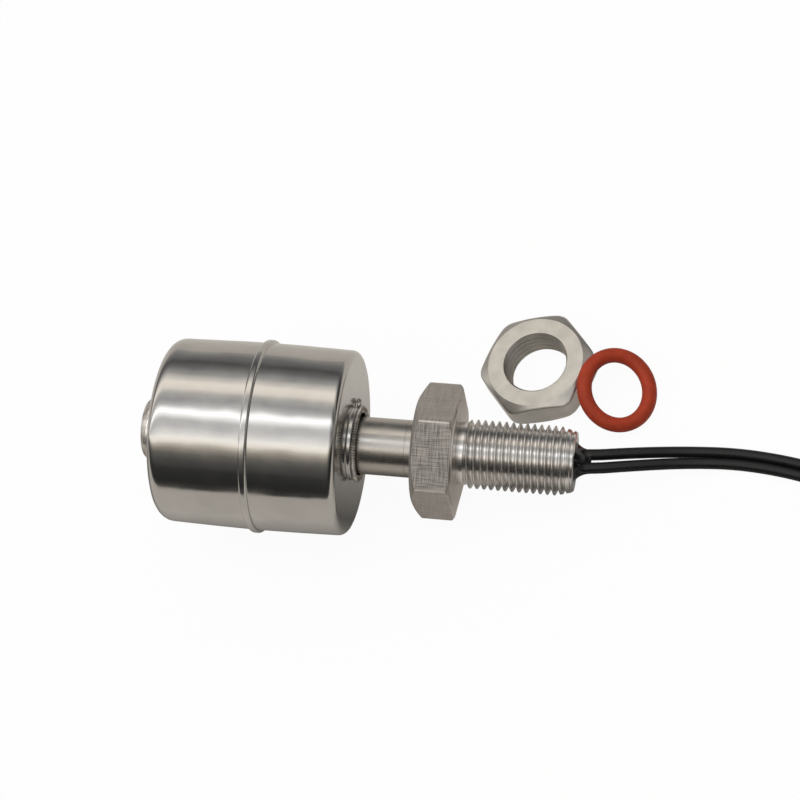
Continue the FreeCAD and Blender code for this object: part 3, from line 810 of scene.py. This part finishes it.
class LEVELSWITCH_OT_float(bpy.types.Operator):
    """Make the two polished cups of the float and finish its inner tube"""

    bl_idname = "levelswitch.float"
    bl_label = "Float"

    def execute(self, context):
        sizes = context.scene.level_float
        look = context.scene.level_finishes
        steel = polished_steel("float_steel", look.float_steel, look.float_roughness, FLOAT)
        bore = polished_steel("float_bore", look.stem_steel, look.stem_roughness, FLOAT)
        mirror = Matrix.Scale(-1, 4, Vector((1, 0, 0)))
        sides = [("cup_hex", sizes.depth_hex, sizes.corner_hex, FLOAT, "cup_hex_side"),
                 ("cup_stop", sizes.depth_stop, sizes.corner_stop, FLOAT @ mirror, "cup_stop_side")]
        for name, depth, corner, matrix, node in sides:
            cup = make_cup(name, sizes, depth, corner, matrix)
            if matrix is not FLOAT:
                cup.data.flip_normals()
            put_on(cup, steel)
            seat(cup, "float", "polished_steel", node)
        dress_node("float_tube", bore)
        return {"FINISHED"}


# The drop of weld metal: how lumpy it is, how far it ran round the collar, and how much of its
# radius stands outside the bead
DROP_LUMPS = 0.4
DROP_LUMP_SCALE = 4200.0
DROP_RUN = 1.7
DROP_STANDS = 0.7
# Even ripples on the way round a bead
RIPPLES = 88


class LEVELSWITCH_OT_weld_beads(bpy.types.Operator):
    """Lay the weld beads on the float's collars and finish the one on the stop ring"""

    bl_idname = "levelswitch.weld_beads"
    bl_label = "Weld Beads"

    def bead(self, name, sizes, radius, seed, s, material):
        mesh = grown_mesh(name, bead_tree(), {
            "Radius": radius, "Width": sizes.width, "Height": sizes.height,
            "Grain": sizes.grain, "Ripples": RIPPLES, "Seed": seed, "Material": material})
        mesh.transform(FLOAT @ Matrix.Translation((s, 0, 0)) @ Z_TO_X)
        return add_object(name, mesh)

    def drop(self, sizes, collar_radius, s):
        """The drop of weld metal that ran onto the collar."""
        bm = bmesh.new()
        bmesh.ops.create_icosphere(bm, subdivisions=4, radius=sizes.drop_radius)
        for vert in bm.verts:
            vert.co *= 1 + DROP_LUMPS * noise.noise(vert.co * DROP_LUMP_SCALE)
            vert.co.y *= DROP_RUN
        place = ring_point(s, collar_radius + sizes.drop_radius * DROP_STANDS, sizes.drop_angle)
        return finish_mesh(bm, "weld_drop", FLOAT @ Matrix.Translation(place))

    def execute(self, context):
        cups = context.scene.level_float
        sizes = context.scene.level_welds
        metal = weld_metal("weld_metal", context.scene.level_finishes.weld_steel, FLOAT)
        radius = cups.tube_radius + sizes.width / 2
        half = sizes.height / 2
        high = cups.depth_hex + cups.collar_height + half
        low = -cups.depth_stop - cups.collar_height - half
        for name, s, seed, node in (("rim_bead_hex", high, 1.0, "rim_weld_hex_side"),
                                    ("rim_bead_stop", low, 2.0, "rim_weld_stop_side")):
            bead = self.bead(name, sizes, radius, seed, s, metal)
            seat(bead, "float", "weld_steel", node)
        drop = self.drop(sizes, cups.tube_radius + sizes.width, high - sizes.height)
        put_on(drop, metal)
        seat(drop, "float", "weld_steel")
        dress_node("stop_weld", metal)
        return {"FINISHED"}


# The stem, the hexagon and the stud

# Points round the hexagon and the nut, and rows along them
HEX_COLUMNS = 480
HEX_ROWS = 64
NUT_COLUMNS = 360
NUT_ROWS = 60
# Edges steeper than this many degrees stay sharp on them
MILLED_SHARP = 18.0
# The sealing face's rounded edge, and the radius at which flat faces are closed
FACE_EDGE = 0.06 * MM
FACE_MIDDLE = 0.1 * MM
# The spigot's bore and the rounding where the stem butts on it
SPIGOT_BORE = 2.9 * MM
BUTT_EDGE = 0.05 * MM
SPIGOT_COLUMNS = 120
THREAD_COLUMNS = 144
ROWS_PER_PITCH = 22


def even_rows(low, high, count):
    return [low + (high - low) * i / count for i in range(count + 1)]


def make_hexagon(sizes):
    """The hexagon with its chamfers and sealing face, closed on both sides."""
    high = -sizes.seal_face_height
    low = high - sizes.thickness
    slope = math.tan(sizes.chamfer)

    def reach(s, turn):
        planes = hex_reach(turn, sizes.flats, 0.0)
        from_low = sizes.face_radius + (s - low) / slope
        from_high = sizes.seal_side_radius + (high - s) / slope
        return soft_min(planes + [from_low, from_high], sizes.edge)

    bm, rings = milled_bar(even_rows(low, high, HEX_ROWS), HEX_COLUMNS, reach)
    ring = close_to_ring(bm, rings[0], low, sizes.stem_radius)
    ring = close_to_ring(bm, ring, low, FACE_MIDDLE)
    bm.faces.new(ring)
    ring = close_to_ring(bm, rings[-1], high, sizes.seal_face_radius)
    for s, r in ((-FACE_EDGE, sizes.seal_face_radius), (0, sizes.seal_face_radius - FACE_EDGE),
                 (0, sizes.neck_radius), (0, FACE_MIDDLE)):
        ring = close_to_ring(bm, ring, s, r)
    bm.faces.new(ring)
    return finish_mesh(bm, "hexagon", STEM, MILLED_SHARP)


def make_spigot(sizes):
    """The spigot that the stem butts on, with the pilot inside the stem."""
    start = -sizes.seal_face_height - sizes.thickness / 2
    butt = -sizes.seal_face_height - sizes.thickness - sizes.spigot_length
    loop = outline([
        (start, SPIGOT_BORE), (start, sizes.stem_radius), (butt, sizes.stem_radius, BUTT_EDGE),
        (butt, sizes.pilot_radius), (butt - sizes.pilot_length, sizes.pilot_radius),
        (butt - sizes.pilot_length, SPIGOT_BORE)], 3)
    return finish_mesh(turned(loop, SPIGOT_COLUMNS), "spigot", STEM)


def make_stud(sizes, material):
    """The threaded stud, a solid that starts at the sealing face."""
    rows = round(sizes.stud_length / sizes.pitch * ROWS_PER_PITCH)
    mesh = grown_mesh("threaded_stud", thread_tree(), {
        "Crest Radius": sizes.stud_radius, "Root Radius": sizes.root_radius,
        "Pitch": sizes.pitch, "Length": sizes.stud_length, "Low Radius": sizes.neck_radius,
        "Low Length": sizes.neck_length, "High Radius": sizes.end_radius,
        "High Slope": (sizes.stud_radius - sizes.end_radius) / sizes.taper_length,
        "Inside": False, "Columns": THREAD_COLUMNS, "Rows": rows, "Material": material})
    mesh.transform(STEM @ Z_TO_X)
    return add_object("threaded_stud", mesh)


class LEVELSWITCH_OT_stem(bpy.types.Operator):
    """Make the hexagon and the threaded stud, and finish the stem"""

    bl_idname = "levelswitch.stem"
    bl_label = "Stem and Hexagon"

    def execute(self, context):
        sizes = context.scene.level_stem
        look = context.scene.level_finishes
        milled = brushed_steel("milled_steel", look.hex_steel, look.hex_roughness, STEM,
                               sizes.flats / 2 / math.cos(HALF_FLAT), -sizes.seal_face_height)
        cut = turned_steel("cut_steel", look.thread_steel, look.thread_roughness, STEM)
        tube = polished_steel("stem_steel", look.stem_steel, look.stem_roughness, STEM, (0.3, 1, 1))
        hexagon = make_hexagon(sizes)
        put_on(hexagon, milled)
        seat(hexagon, "stem", "turned_steel", "hex_fitting")
        spigot = make_spigot(sizes)
        put_on(spigot, tube)
        seat(spigot, "stem", "turned_steel")
        seat(make_stud(sizes, cut), "stem", "turned_steel")
        dress_node("stem_tube", tube)
        dress_node("stem_end_plug", cut)
        dress_node("stop_ring", cut)
        return {"FINISHED"}


# The loose nut and seal

NUT_CHAMFER = math.radians(30)
# How deep the nut's mouth goes before its thread is met, and the rows along that thread
NUT_MOUTH = 0.05 * MM
NUT_THREAD_ROWS = 110
# Points round the seal and round its section, and how narrow its moulding line is
SEAL_COLUMNS = 200
SEAL_SECTION = 48
FLASH_WIDTH = 0.06


def nut_foot():
    """The middle of the nut's lower face."""
    centre = (NUT_LOW + NUT_HIGH) / 2
    return Vector((centre.x, centre.y, NUT_LOW.z))


def nut_frame():
    """Origin at the middle of the nut's lower face, X upwards and Y along the scene's X."""
    turn = Matrix(((0, 0, 1), (1, 0, 0), (0, 1, 0))).transposed()
    return Matrix.Translation(nut_foot()) @ turn.to_4x4()


def make_nut(sizes, high):
    """The nut's outside: six flats, a chamfer on each face and the two flat rings."""
    slope = math.tan(NUT_CHAMFER)

    def reach(s, turn):
        planes = hex_reach(turn, sizes.flats, sizes.turn + HALF_FLAT)
        ends = [sizes.face_radius + s / slope, sizes.face_radius + (high - s) / slope]
        return soft_min(planes + ends + [sizes.corner_radius], sizes.edge)

    bm, rings = milled_bar(even_rows(0, high, NUT_ROWS), NUT_COLUMNS, reach)
    low_ring = close_to_ring(bm, rings[0], 0, sizes.mouth_radius)
    high_ring = close_to_ring(bm, rings[-1], high, sizes.mouth_radius)
    close_to_ring(bm, low_ring, NUT_MOUTH, sizes.mouth_radius)
    close_to_ring(bm, high_ring, high - NUT_MOUTH, sizes.mouth_radius)
    return finish_mesh(bm, "lock_nut_body", nut_frame(), MILLED_SHARP)


def make_nut_thread(sizes, pitch, high, material):
    """The inner thread as an open sleeve whose faces look inwards."""
    mesh = grown_mesh("nut_thread", thread_tree(), {
        "Crest Radius": sizes.bore_radius, "Root Radius": sizes.root_radius, "Pitch": pitch,
        "Length": high, "Low Radius": sizes.mouth_radius, "Low Length": 0.0,
        "High Radius": sizes.mouth_radius, "High Slope": 1.0, "Inside": True,
        "Columns": THREAD_COLUMNS, "Rows": NUT_THREAD_ROWS, "Material": material})
    bm = bmesh.new()
    bm.from_mesh(mesh)
    caps = [f for f in bm.faces if len(f.verts) > 4]
    bmesh.ops.delete(bm, geom=caps, context="FACES_ONLY")
    bmesh.ops.reverse_faces(bm, faces=bm.faces)
    bm.to_mesh(mesh)
    bm.free()
    mesh.transform(Matrix.Translation(nut_foot()))
    return add_object("nut_thread", mesh)


class LEVELSWITCH_OT_lock_nut(bpy.types.Operator):
    """Make the lock nut with its chamfers and inner thread"""

    bl_idname = "levelswitch.lock_nut"
    bl_label = "Lock Nut"

    def execute(self, context):
        sizes = context.scene.level_nut
        look = context.scene.level_finishes
        high = NUT_HIGH.z - NUT_LOW.z
        steel = turned_steel("nut_steel", look.nut_steel, look.nut_roughness, nut_frame())
        body = make_nut(sizes, high)
        put_on(body, steel)
        seat(body, "stem", "nut_steel", "lock_nut")
        thread = make_nut_thread(sizes, context.scene.level_stem.pitch, high, steel)
        seat(thread, "stem", "nut_steel")
        return {"FINISHED"}


def make_seal(sizes):
    """An oval rubber ring with a fine moulding line round it, leaning as it lies."""
    section = []
    for turn in turns(SEAL_SECTION):
        r = sizes.section_radius + sizes.flash * math.exp(-(math.sin(turn) / FLASH_WIDTH) ** 2)
        section.append((r * math.cos(turn), r * math.sin(turn)))
    bm = bmesh.new()
    rings = []
    for turn in turns(SEAL_COLUMNS):
        c = math.cos(turn)
        s = math.sin(turn)
        out = Vector((sizes.short_radius * c, sizes.long_radius * s, 0)).normalized()
        at = Vector((sizes.long_radius * c, sizes.short_radius * s, 0))
        rings.append([bm.verts.new(at + out * x + Vector((0, 0, z))) for x, z in section])
    join_round(bm, rings)
    hinge = Vector((math.sin(sizes.lean_way), -math.cos(sizes.lean_way), 0))
    tilt = Matrix.Rotation(sizes.lean, 4, hinge) @ Matrix.Rotation(sizes.long_way, 4, "Z")
    bmesh.ops.transform(bm, matrix=tilt, verts=bm.verts)
    place = middle("ring_seal")
    place.z = -min(vert.co.z for vert in bm.verts)
    return finish_mesh(bm, "ring_seal_body", Matrix.Translation(place), sharp=60.0)


class LEVELSWITCH_OT_ring_seal(bpy.types.Operator):
    """Make the ring seal"""

    bl_idname = "levelswitch.ring_seal"
    bl_label = "Ring Seal"

    def execute(self, context):
        seal = make_seal(context.scene.level_seal)
        put_on(seal, silicone("seal_rubber", context.scene.level_finishes.seal_rubber))
        seat(seal, "stem", "seal_rubber", "ring_seal")
        return {"FINISHED"}


# The wires

# Route of the pair past the stud in millimetres, counted from the point under the centre
# of the sealing face: x, y, z and half the distance between the wires
ROUTE = [
    (23.8, 1.4, 4.3, 1.00),
    (30.8, 2.9, 1.7, 0.87),
    (38.3, 3.05, 0.82, 0.81),
    (46.3, 1.5, 0.82, 0.81),
    (52.3, -0.6, 0.82, 0.81),
    (57.3, -2.5, 0.82, 0.81),
]
# Two more points of the route on the stud's axis, in millimetres from the sealing face
INSIDE_STUD = [10.8, 17.4]
# Centre of the coil, counted as the route is, and where and how far the pair runs round it
COIL_CENTRE = (61.0, 6.5)
COIL_START = math.radians(-112.3)
COIL_TURNS = 4.4
POINTS_PER_TURN = 16
# How the pair climbs through the coil: turn, column (0 inner, 1 outer) and layer
CLIMB = [(0.0, 1, 0), (0.83, 1, 0), (1.0, 0, 0), (1.67, 0, 0), (1.83, 0, 1), (2.67, 0, 1),
         (2.83, 1, 1), (3.5, 1, 1), (3.67, 1, 2), (4.4, 1, 2)]


def route_points(side, sizes):
    """Control points of one wire's free run; side is +1 or -1 across the pair."""
    middles = [(STEM @ Vector((s * MM, 0, 0)), sizes.spacing / 2) for s in INSIDE_STUD]
    for x, y, z, half in ROUTE:
        middles.append((UNDER_FACE + Vector((x, y, z)) * MM, half * MM))
    points = []
    for i, (point, half) in enumerate(middles):
        before = middles[max(i - 1, 0)][0]
        after = middles[min(i + 1, len(middles) - 1)][0]
        along = after - before
        across = Vector((-along.y, along.x, 0)).normalized()
        points.append(point + across * (side * half))
    return points


def climb_at(turn):
    """Column and layer of the pair after some turns of the coil."""
    for (t0, c0, l0), (t1, c1, l1) in zip(CLIMB, CLIMB[1:]):
        if turn <= t1:
            share = (turn - t0) / (t1 - t0)
            return c0 + (c1 - c0) * share, l0 + (l1 - l0) * share
    return CLIMB[-1][1:]


def coil_point(turn, side, sizes):
    column, layer = climb_at(turn)
    r = sizes.inner_column + (sizes.outer_column - sizes.inner_column) * column
    r -= side * sizes.pitch / 2
    a = COIL_START + 2 * math.pi * turn
    centre = UNDER_FACE + Vector((*COIL_CENTRE, 0)) * MM
    return centre + Vector((r * math.cos(a), r * math.sin(a), (layer + 0.5) * sizes.pitch))


def coil_points(side, sizes):
    count = round(COIL_TURNS * POINTS_PER_TURN)
    return [coil_point(COIL_TURNS * (i + 1) / count, side, sizes) for i in range(count)]


def nurbs_curve(name, points, radius):
    """A smooth round cord through a list of control points."""
    curve = bpy.data.curves.new(name, "CURVE")
    curve.dimensions = "3D"
    curve.bevel_depth = radius
    curve.bevel_resolution = 6
    curve.resolution_u = 8
    curve.use_fill_caps = True
    spline = curve.splines.new("NURBS")
    spline.points.add(len(points) - 1)
    for target, point in zip(spline.points, points):
        target.co = (*point, 1.0)
    spline.order_u = 3
    spline.use_endpoint_u = True
    return add_object(name, curve)


# The resin: where it starts in the stud, its radius there, how far it rises along the wires and
# how steeply it narrows
RESIN_START = 1.0 * MM
RESIN_RADIUS = 2.88 * MM
RESIN_RISE = 2.2 * MM
RESIN_STEEP = 2.8
# Its skin on the wires: thick where it starts to rise, and drawn into them at its end, and how
# much of the web between them is gone there
SKIN_START = 0.12 * MM
SKIN_SUNK = 0.03 * MM
WEB_NARROWS = 0.7
RESIN_COLUMNS = 160
RESIN_ROWS = 24


def make_potting(stem, wires):
    """Resin in the stud that narrows from the bore to a web between the two wires."""
    half = wires.spacing / 2
    bend_from = sum(INSIDE_STUD) / 2 * MM
    next_middle = STEM.inverted() @ (UNDER_FACE + Vector(ROUTE[0][:3]) * MM)
    bend_to = (INSIDE_STUD[1] * MM + next_middle.x) / 2

    def pair_reach(turn, t):
        """Distance from the axis to the skin of resin round the two wires."""
        c = abs(math.cos(turn))
        s = abs(math.sin(turn))
        skin = wires.radius + SKIN_START * (1 - t) - SKIN_SUNK
        web = skin * (1 - WEB_NARROWS * t * t) / max(s, 1e-6)
        if skin <= half * s:
            return web
        over_wire = half * c + math.sqrt(skin * skin - half * half * s * s) * c
        return max(min(web, half * c), over_wire)

    def reach(s, turn):
        if s <= stem.stud_length:
            return RESIN_RADIUS
        t = min(1.0, (s - stem.stud_length) / RESIN_RISE)
        blend = (1 - t) ** RESIN_STEEP
        return RESIN_RADIUS * blend + pair_reach(turn, t) * (1 - blend)

    rows = [RESIN_START, stem.stud_length]
    for i in range(RESIN_ROWS):
        rows.append(stem.stud_length + RESIN_RISE * (i + 1) / RESIN_ROWS)
    bm, rings = milled_bar(rows, RESIN_COLUMNS, reach)
    bm.faces.new(rings[0])
    bm.faces.new(rings[-1])
    for ring in rings[2:]:
        t = (ring[0].co.x - bend_from) / (bend_to - bend_from)
        shift = Vector((0, next_middle.y, next_middle.z)) * (t * t / 2)
        for vert in ring:
            vert.co += shift
    return finish_mesh(bm, "potting_resin", STEM, sharp=60.0)


class LEVELSWITCH_OT_wires(bpy.types.Operator):
    """Lay the two wires, their coil and the resin that they leave the stud by"""

    bl_idname = "levelswitch.wires"
    bl_label = "Wires and Potting"

    def execute(self, context):
        sizes = context.scene.level_wires
        stem = context.scene.level_stem
        look = context.scene.level_finishes
        sleeve = plain_finish("wire_insulation", look.insulation, 0.3, scale=700.0,
                              depth=0.004 * MM)
        sleeve.node_tree.nodes["Principled BSDF"].inputs["Specular IOR Level"].default_value = 0.3
        tin = plain_finish("tinned_copper", (0.62, 0.60, 0.56), 0.3, metallic=1.0)
        resin = plain_finish("potting_resin", look.resin, 0.2, scale=400.0, depth=0.003 * MM)
        for side, letter, real in ((1, "a", sizes.length_a), (-1, "b", sizes.length_b)):
            points = route_points(side, sizes) + coil_points(side, sizes)
            wire = nurbs_curve("lead_" + letter, points, sizes.radius)
            put_on(wire, sleeve)
            nodes = ["wire_a", "wire_coil"] if letter == "a" else ["wire_b"]
            seat(wire, "stem", "wire_insulation", *nodes)
            dress_node("bare_end_" + letter, tin)
        potting = make_potting(stem, sizes)
        put_on(potting, resin)
        seat(potting, "stem", "potting_resin", "potting")
        return {"FINISHED"}


# Finishes of what works inside: colour, roughness, share of metal, and the nodes that have it
INNER_FINISHES = {
    "spacer_plastic": ((0.74, 0.72, 0.65), 0.5, 0.0, ["spacer_hex_side", "spacer_stop_side"]),
    "reed_metal": ((0.60, 0.58, 0.54), 0.28, 1.0, ["reed_contact_upper", "reed_contact_lower"]),
    "core_copper": ((0.62, 0.58, 0.52), 0.3, 1.0, ["core_a", "core_b"]),
    "ferrite": ((0.045, 0.045, 0.048), 0.62, 0.0, ["ring_magnet"]),
    "board_laminate": ((0.03, 0.16, 0.05), 0.4, 0.0, ["carrier_board"]),
    "sleeve_film": ((0.72, 0.71, 0.66), 0.35, 0.0, ["insulating_sleeve"]),
    "solder": ((0.58, 0.58, 0.57), 0.25, 1.0, ["solder_joints"])}


class LEVELSWITCH_OT_inner_parts(bpy.types.Operator):
    """Finish the magnet, its spacers, the reed switch and what carries it"""

    bl_idname = "levelswitch.inner_parts"
    bl_label = "Inner Parts"

    def execute(self, context):
        for name, (rgb, roughness, metallic, nodes) in INNER_FINISHES.items():
            material = plain_finish(name, rgb, roughness, metallic)
            for node in nodes:
                dress_node(node, material)
        dress_node("reed_glass", clear_glass("reed_glass", (0.75, 0.85, 0.80)))
        return {"FINISHED"}


# The stage

# Camera and what it looks at, from the point under the centre of the sealing face
CAMERA_PLACE = UNDER_FACE + Vector((95.698, -125.929, 272.86)) * MM
CAMERA_TARGET = UNDER_FACE + Vector((-10.882, 9.281, 8.0)) * MM
SENSOR_WIDTH = 36.0
# The studio seen by the metal: degrees from straight up, towards the front (-Y) when
# positive, the brightness there, and how warm its light is
STUDIO_BANDS = [
    (-180, 0.75, 1.0), (-116, 0.72, 0.6), (-104, 0.5, 0.5), (-90, 0.42, 0.5), (-78, 0.24, 0.0),
    (-68, 0.12, 0.0), (-60, 0.22, 0.0), (-50, 0.5, 0.2), (-43, 0.95, 0.6), (-36, 1.4, 1.0),
    (-28, 1.3, 1.0), (-21, 0.72, 0.3), (-13, 0.56, 0.0), (-6, 0.85, 0.0), (3, 2.5, 0.0),
    (8, 1.5, 0.0), (13, 0.9, 0.0), (20, 0.95, 0.0), (27, 1.3, 0.2), (33, 1.7, 0.4),
    (38, 1.5, 1.0), (42, 0.8, 1.3), (47, 0.42, 1.3), (53, 0.2, 0.8), (62, 0.11, 0.4),
    (74, 0.05, 0.0), (92, 0.035, 0.0), (96, 0.4, 1.2), (180, 0.6, 1.2)]
# How bright the studio is towards the thread's end (+X), against the rest, and where it fades
DARK_SIDE = 0.25
FADE_FROM = 0.25
FADE_TO = 0.75
# How much warmer a band is in red, and how much poorer in blue, for each unit of warmth
WARM_RED = 0.07
WARM_BLUE = 0.1
# The pale card that metal sees in the floor: its tint, how dark it is beyond its far edge,
# where that edge starts to fall off, and how much of the card glows by itself
CARD_TINT = (1.0, 0.95, 0.885)
CARD_BEYOND = 0.06
CARD_EDGE = 0.85
CARD_GLOW = 0.5
# The painted shade that the part would lay on the card: how far it lies towards the front (-Y),
# how wide it is and what share of light it leaves, and the bright gap in it beside the hexagon,
# along X
SHADE_AT = 12.0 * MM
SHADE_WIDTH = 18.0 * MM
SHADE_LEFT = 0.15
GAP_AT = 8.0 * MM
GAP_FULL = 3.0 * MM
GAP_END = 7.0 * MM
# The floor's own colour, and the white that the camera sees behind it
PAPER = (0.82, 0.82, 0.82, 1.0)
WHITE = (1.0, 1.0, 1.0, 1.0)


def looking(place, target):
    """The matrix of a camera or lamp at a place that looks at a target."""
    aim = (Vector(target) - Vector(place)).to_track_quat("-Z", "Y").to_matrix().to_4x4()
    return Matrix.Translation(place) @ aim


def make_camera(stage):
    data = bpy.data.cameras.new("camera")
    data.sensor_width = SENSOR_WIDTH
    data.lens = stage.lens
    data.clip_start = 0.01
    data.clip_end = 20.0
    camera = add_object("camera", data)
    camera.matrix_world = looking(CAMERA_PLACE, CAMERA_TARGET) @ Matrix.Rotation(stage.roll, 4, "Z")
    bpy.context.scene.camera = camera


def make_world():
    """A soft studio: broad strips of light and dark over a pale ground."""
    world = bpy.data.worlds.new("studio")
    bpy.context.scene.world = world
    world.use_nodes = True
    tree = world.node_tree
    tree.nodes.clear()
    axes = split(tree, add_node(tree, "ShaderNodeTexCoord").outputs["Generated"])
    front = product(tree, axes["Y"], -1.0)
    turn = calc(tree, "ARCTAN2", front, axes["Z"])
    share = calc(tree, "MULTIPLY_ADD", turn, 0.5 / math.pi, 0.5)
    ramp = add_node(tree, "ShaderNodeValToRGB", {0: share})
    ramp.color_ramp.interpolation = "EASE"
    stops = ramp.color_ramp.elements
    while len(stops) < len(STUDIO_BANDS):
        stops.new(1.0)
    headroom = 1.2
    brightest = max(bright for _, bright, _ in STUDIO_BANDS) * headroom
    for stop, (degrees, bright, warmth) in zip(stops, STUDIO_BANDS):
        share = bright / brightest
        stop.position = (degrees + 180) / 360
        stop.color = (share * (1 + WARM_RED * warmth), share, share * (1 - WARM_BLUE * warmth), 1.0)
    fall = spread(tree, axes["X"], brightest, brightest * DARK_SIDE, FADE_FROM, FADE_TO)
    studio = add_node(tree, "ShaderNodeBackground", {"Color": ramp.outputs[0], "Strength": fall})
    white = add_node(tree, "ShaderNodeBackground", {"Color": WHITE, "Strength": 1.0})
    mix = add_node(tree, "ShaderNodeMixShader", {
        0: add_node(tree, "ShaderNodeLightPath").outputs["Is Camera Ray"],
        1: studio.outputs[0], 2: white.outputs[0]})
    add_node(tree, "ShaderNodeOutputWorld", {"Surface": mix.outputs[0]})


def card_share(tree, stage):
    """How much of its light the card has at each place of the floor."""
    axes = split(tree, add_node(tree, "ShaderNodeTexCoord").outputs["Object"])
    far = stage.card_size
    share = spread(tree, axes["Y"], CARD_BEYOND, 1.0, -far, -far * CARD_EDGE)
    # A painted shade on the card under the part, with a bright gap beside the hexagon
    below = calc(tree, "ABSOLUTE", calc(tree, "ADD", axes["Y"], SHADE_AT))
    beside = calc(tree, "ABSOLUTE", calc(tree, "SUBTRACT", axes["X"], GAP_AT))
    shade = calc(tree, "MAXIMUM", spread(tree, below, SHADE_LEFT, 1.0, 0.0, SHADE_WIDTH),
                 spread(tree, beside, 1.0, 0.0, GAP_FULL, GAP_END))
    return product(tree, share, shade)


def make_floor(stage):
    """A white sheet; metal sees it as pale card that ends a little way off."""
    bm = bmesh.new()
    bmesh.ops.create_grid(bm, x_segments=1, y_segments=1, size=stage.floor_size / 2)
    floor = add_object("floor", mesh_from(bm, "floor"))
    material = bpy.data.materials.new("pale_floor")
    material.use_nodes = True
    tree = material.node_tree
    tree.nodes.clear()
    path = add_node(tree, "ShaderNodeLightPath").outputs
    paint = add_node(tree, "ShaderNodeBsdfDiffuse", {"Color": PAPER})
    glow = add_node(tree, "ShaderNodeEmission", {"Color": WHITE, "Strength": 1.0})
    seen = calc(tree, "MAXIMUM", path["Is Camera Ray"], path["Is Transmission Ray"])
    white = add_node(tree, "ShaderNodeMixShader", {
        0: product(tree, seen, stage.floor_glow), 1: paint.outputs[0], 2: glow.outputs[0]})
    share = card_share(tree, stage)
    tone = stage.card_brightness
    shaded = add_node(tree, "ShaderNodeBsdfDiffuse", {"Color": (*scaled(CARD_TINT, tone), 1.0)})
    pale = add_node(tree, "ShaderNodeEmission", {
        "Color": (*CARD_TINT, 1.0), "Strength": product(tree, share, tone)})
    card = add_node(tree, "ShaderNodeMixShader", {
        0: calc(tree, "SUBTRACT", 1.0, product(tree, share, CARD_GLOW)),
        1: shaded.outputs[0], 2: pale.outputs[0]})
    mix = add_node(tree, "ShaderNodeMixShader", {
        0: path["Is Glossy Ray"], 1: white.outputs[0], 2: card.outputs[0]})
    add_node(tree, "ShaderNodeOutputMaterial", {"Surface": mix.outputs[0]})
    put_on(floor, material)


def area_light(name, place, target, size, power):
    data = bpy.data.lights.new(name, "AREA")
    data.size = size
    data.energy = power
    lamp = add_object(name, data)
    lamp.matrix_world = looking(place, target)
    lamp.visible_glossy = False


class LEVELSWITCH_OT_stage(bpy.types.Operator):
    """Set the floor, the light and the camera"""

    bl_idname = "levelswitch.stage"
    bl_label = "Stage"

    def execute(self, context):
        stage = context.scene.level_stage
        context.scene.view_settings.view_transform = "Standard"
        make_world()
        make_floor(stage)
        make_camera(stage)
        area_light("overhead", place=(0.0, 0.05, 0.9), target=(0, 0, 0), size=0.5, power=1.4)
        return {"FINISHED"}


class LEVELSWITCH_PT_panel(bpy.types.Panel):
    """Lists the pieces of the level switch"""

    bl_idname = "LEVELSWITCH_PT_panel"
    bl_label = "Level Switch"
    bl_space_type = "VIEW_3D"
    bl_region_type = "UI"
    bl_category = "Level Switch"

    def draw(self, context):
        column = self.layout.column()
        for operator in OPERATORS:
            column.operator(operator.bl_idname)


GROUPS = {
    "level_float": FloatSizes, "level_welds": WeldSizes, "level_stem": StemSizes,
    "level_nut": NutSizes, "level_seal": SealSizes, "level_wires": WireSizes,
    "level_finishes": Finishes, "level_stage": StageSettings}
OPERATORS = [LEVELSWITCH_OT_stage, LEVELSWITCH_OT_wires, LEVELSWITCH_OT_float,
             LEVELSWITCH_OT_weld_beads, LEVELSWITCH_OT_stem, LEVELSWITCH_OT_lock_nut,
             LEVELSWITCH_OT_ring_seal, LEVELSWITCH_OT_inner_parts]


def register():
    for group in GROUPS.values():
        bpy.utils.register_class(group)
    for name, group in GROUPS.items():
        setattr(bpy.types.Scene, name, PointerProperty(type=group))
    for operator in OPERATORS:
        bpy.utils.register_class(operator)
    bpy.utils.register_class(LEVELSWITCH_PT_panel)


def unregister():
    bpy.utils.unregister_class(LEVELSWITCH_PT_panel)
    for operator in reversed(OPERATORS):
        bpy.utils.unregister_class(operator)
    for name, group in GROUPS.items():
        delattr(bpy.types.Scene, name)
        bpy.utils.unregister_class(group)


def main():
    register()
    bpy.ops.levelswitch.stage()
    bpy.ops.levelswitch.wires()
    bpy.ops.levelswitch.float()
    bpy.ops.levelswitch.weld_beads()
    bpy.ops.levelswitch.stem()
    bpy.ops.levelswitch.lock_nut()
    bpy.ops.levelswitch.ring_seal()
    bpy.ops.levelswitch.inner_parts()


if __name__ == "__main__":
    main()
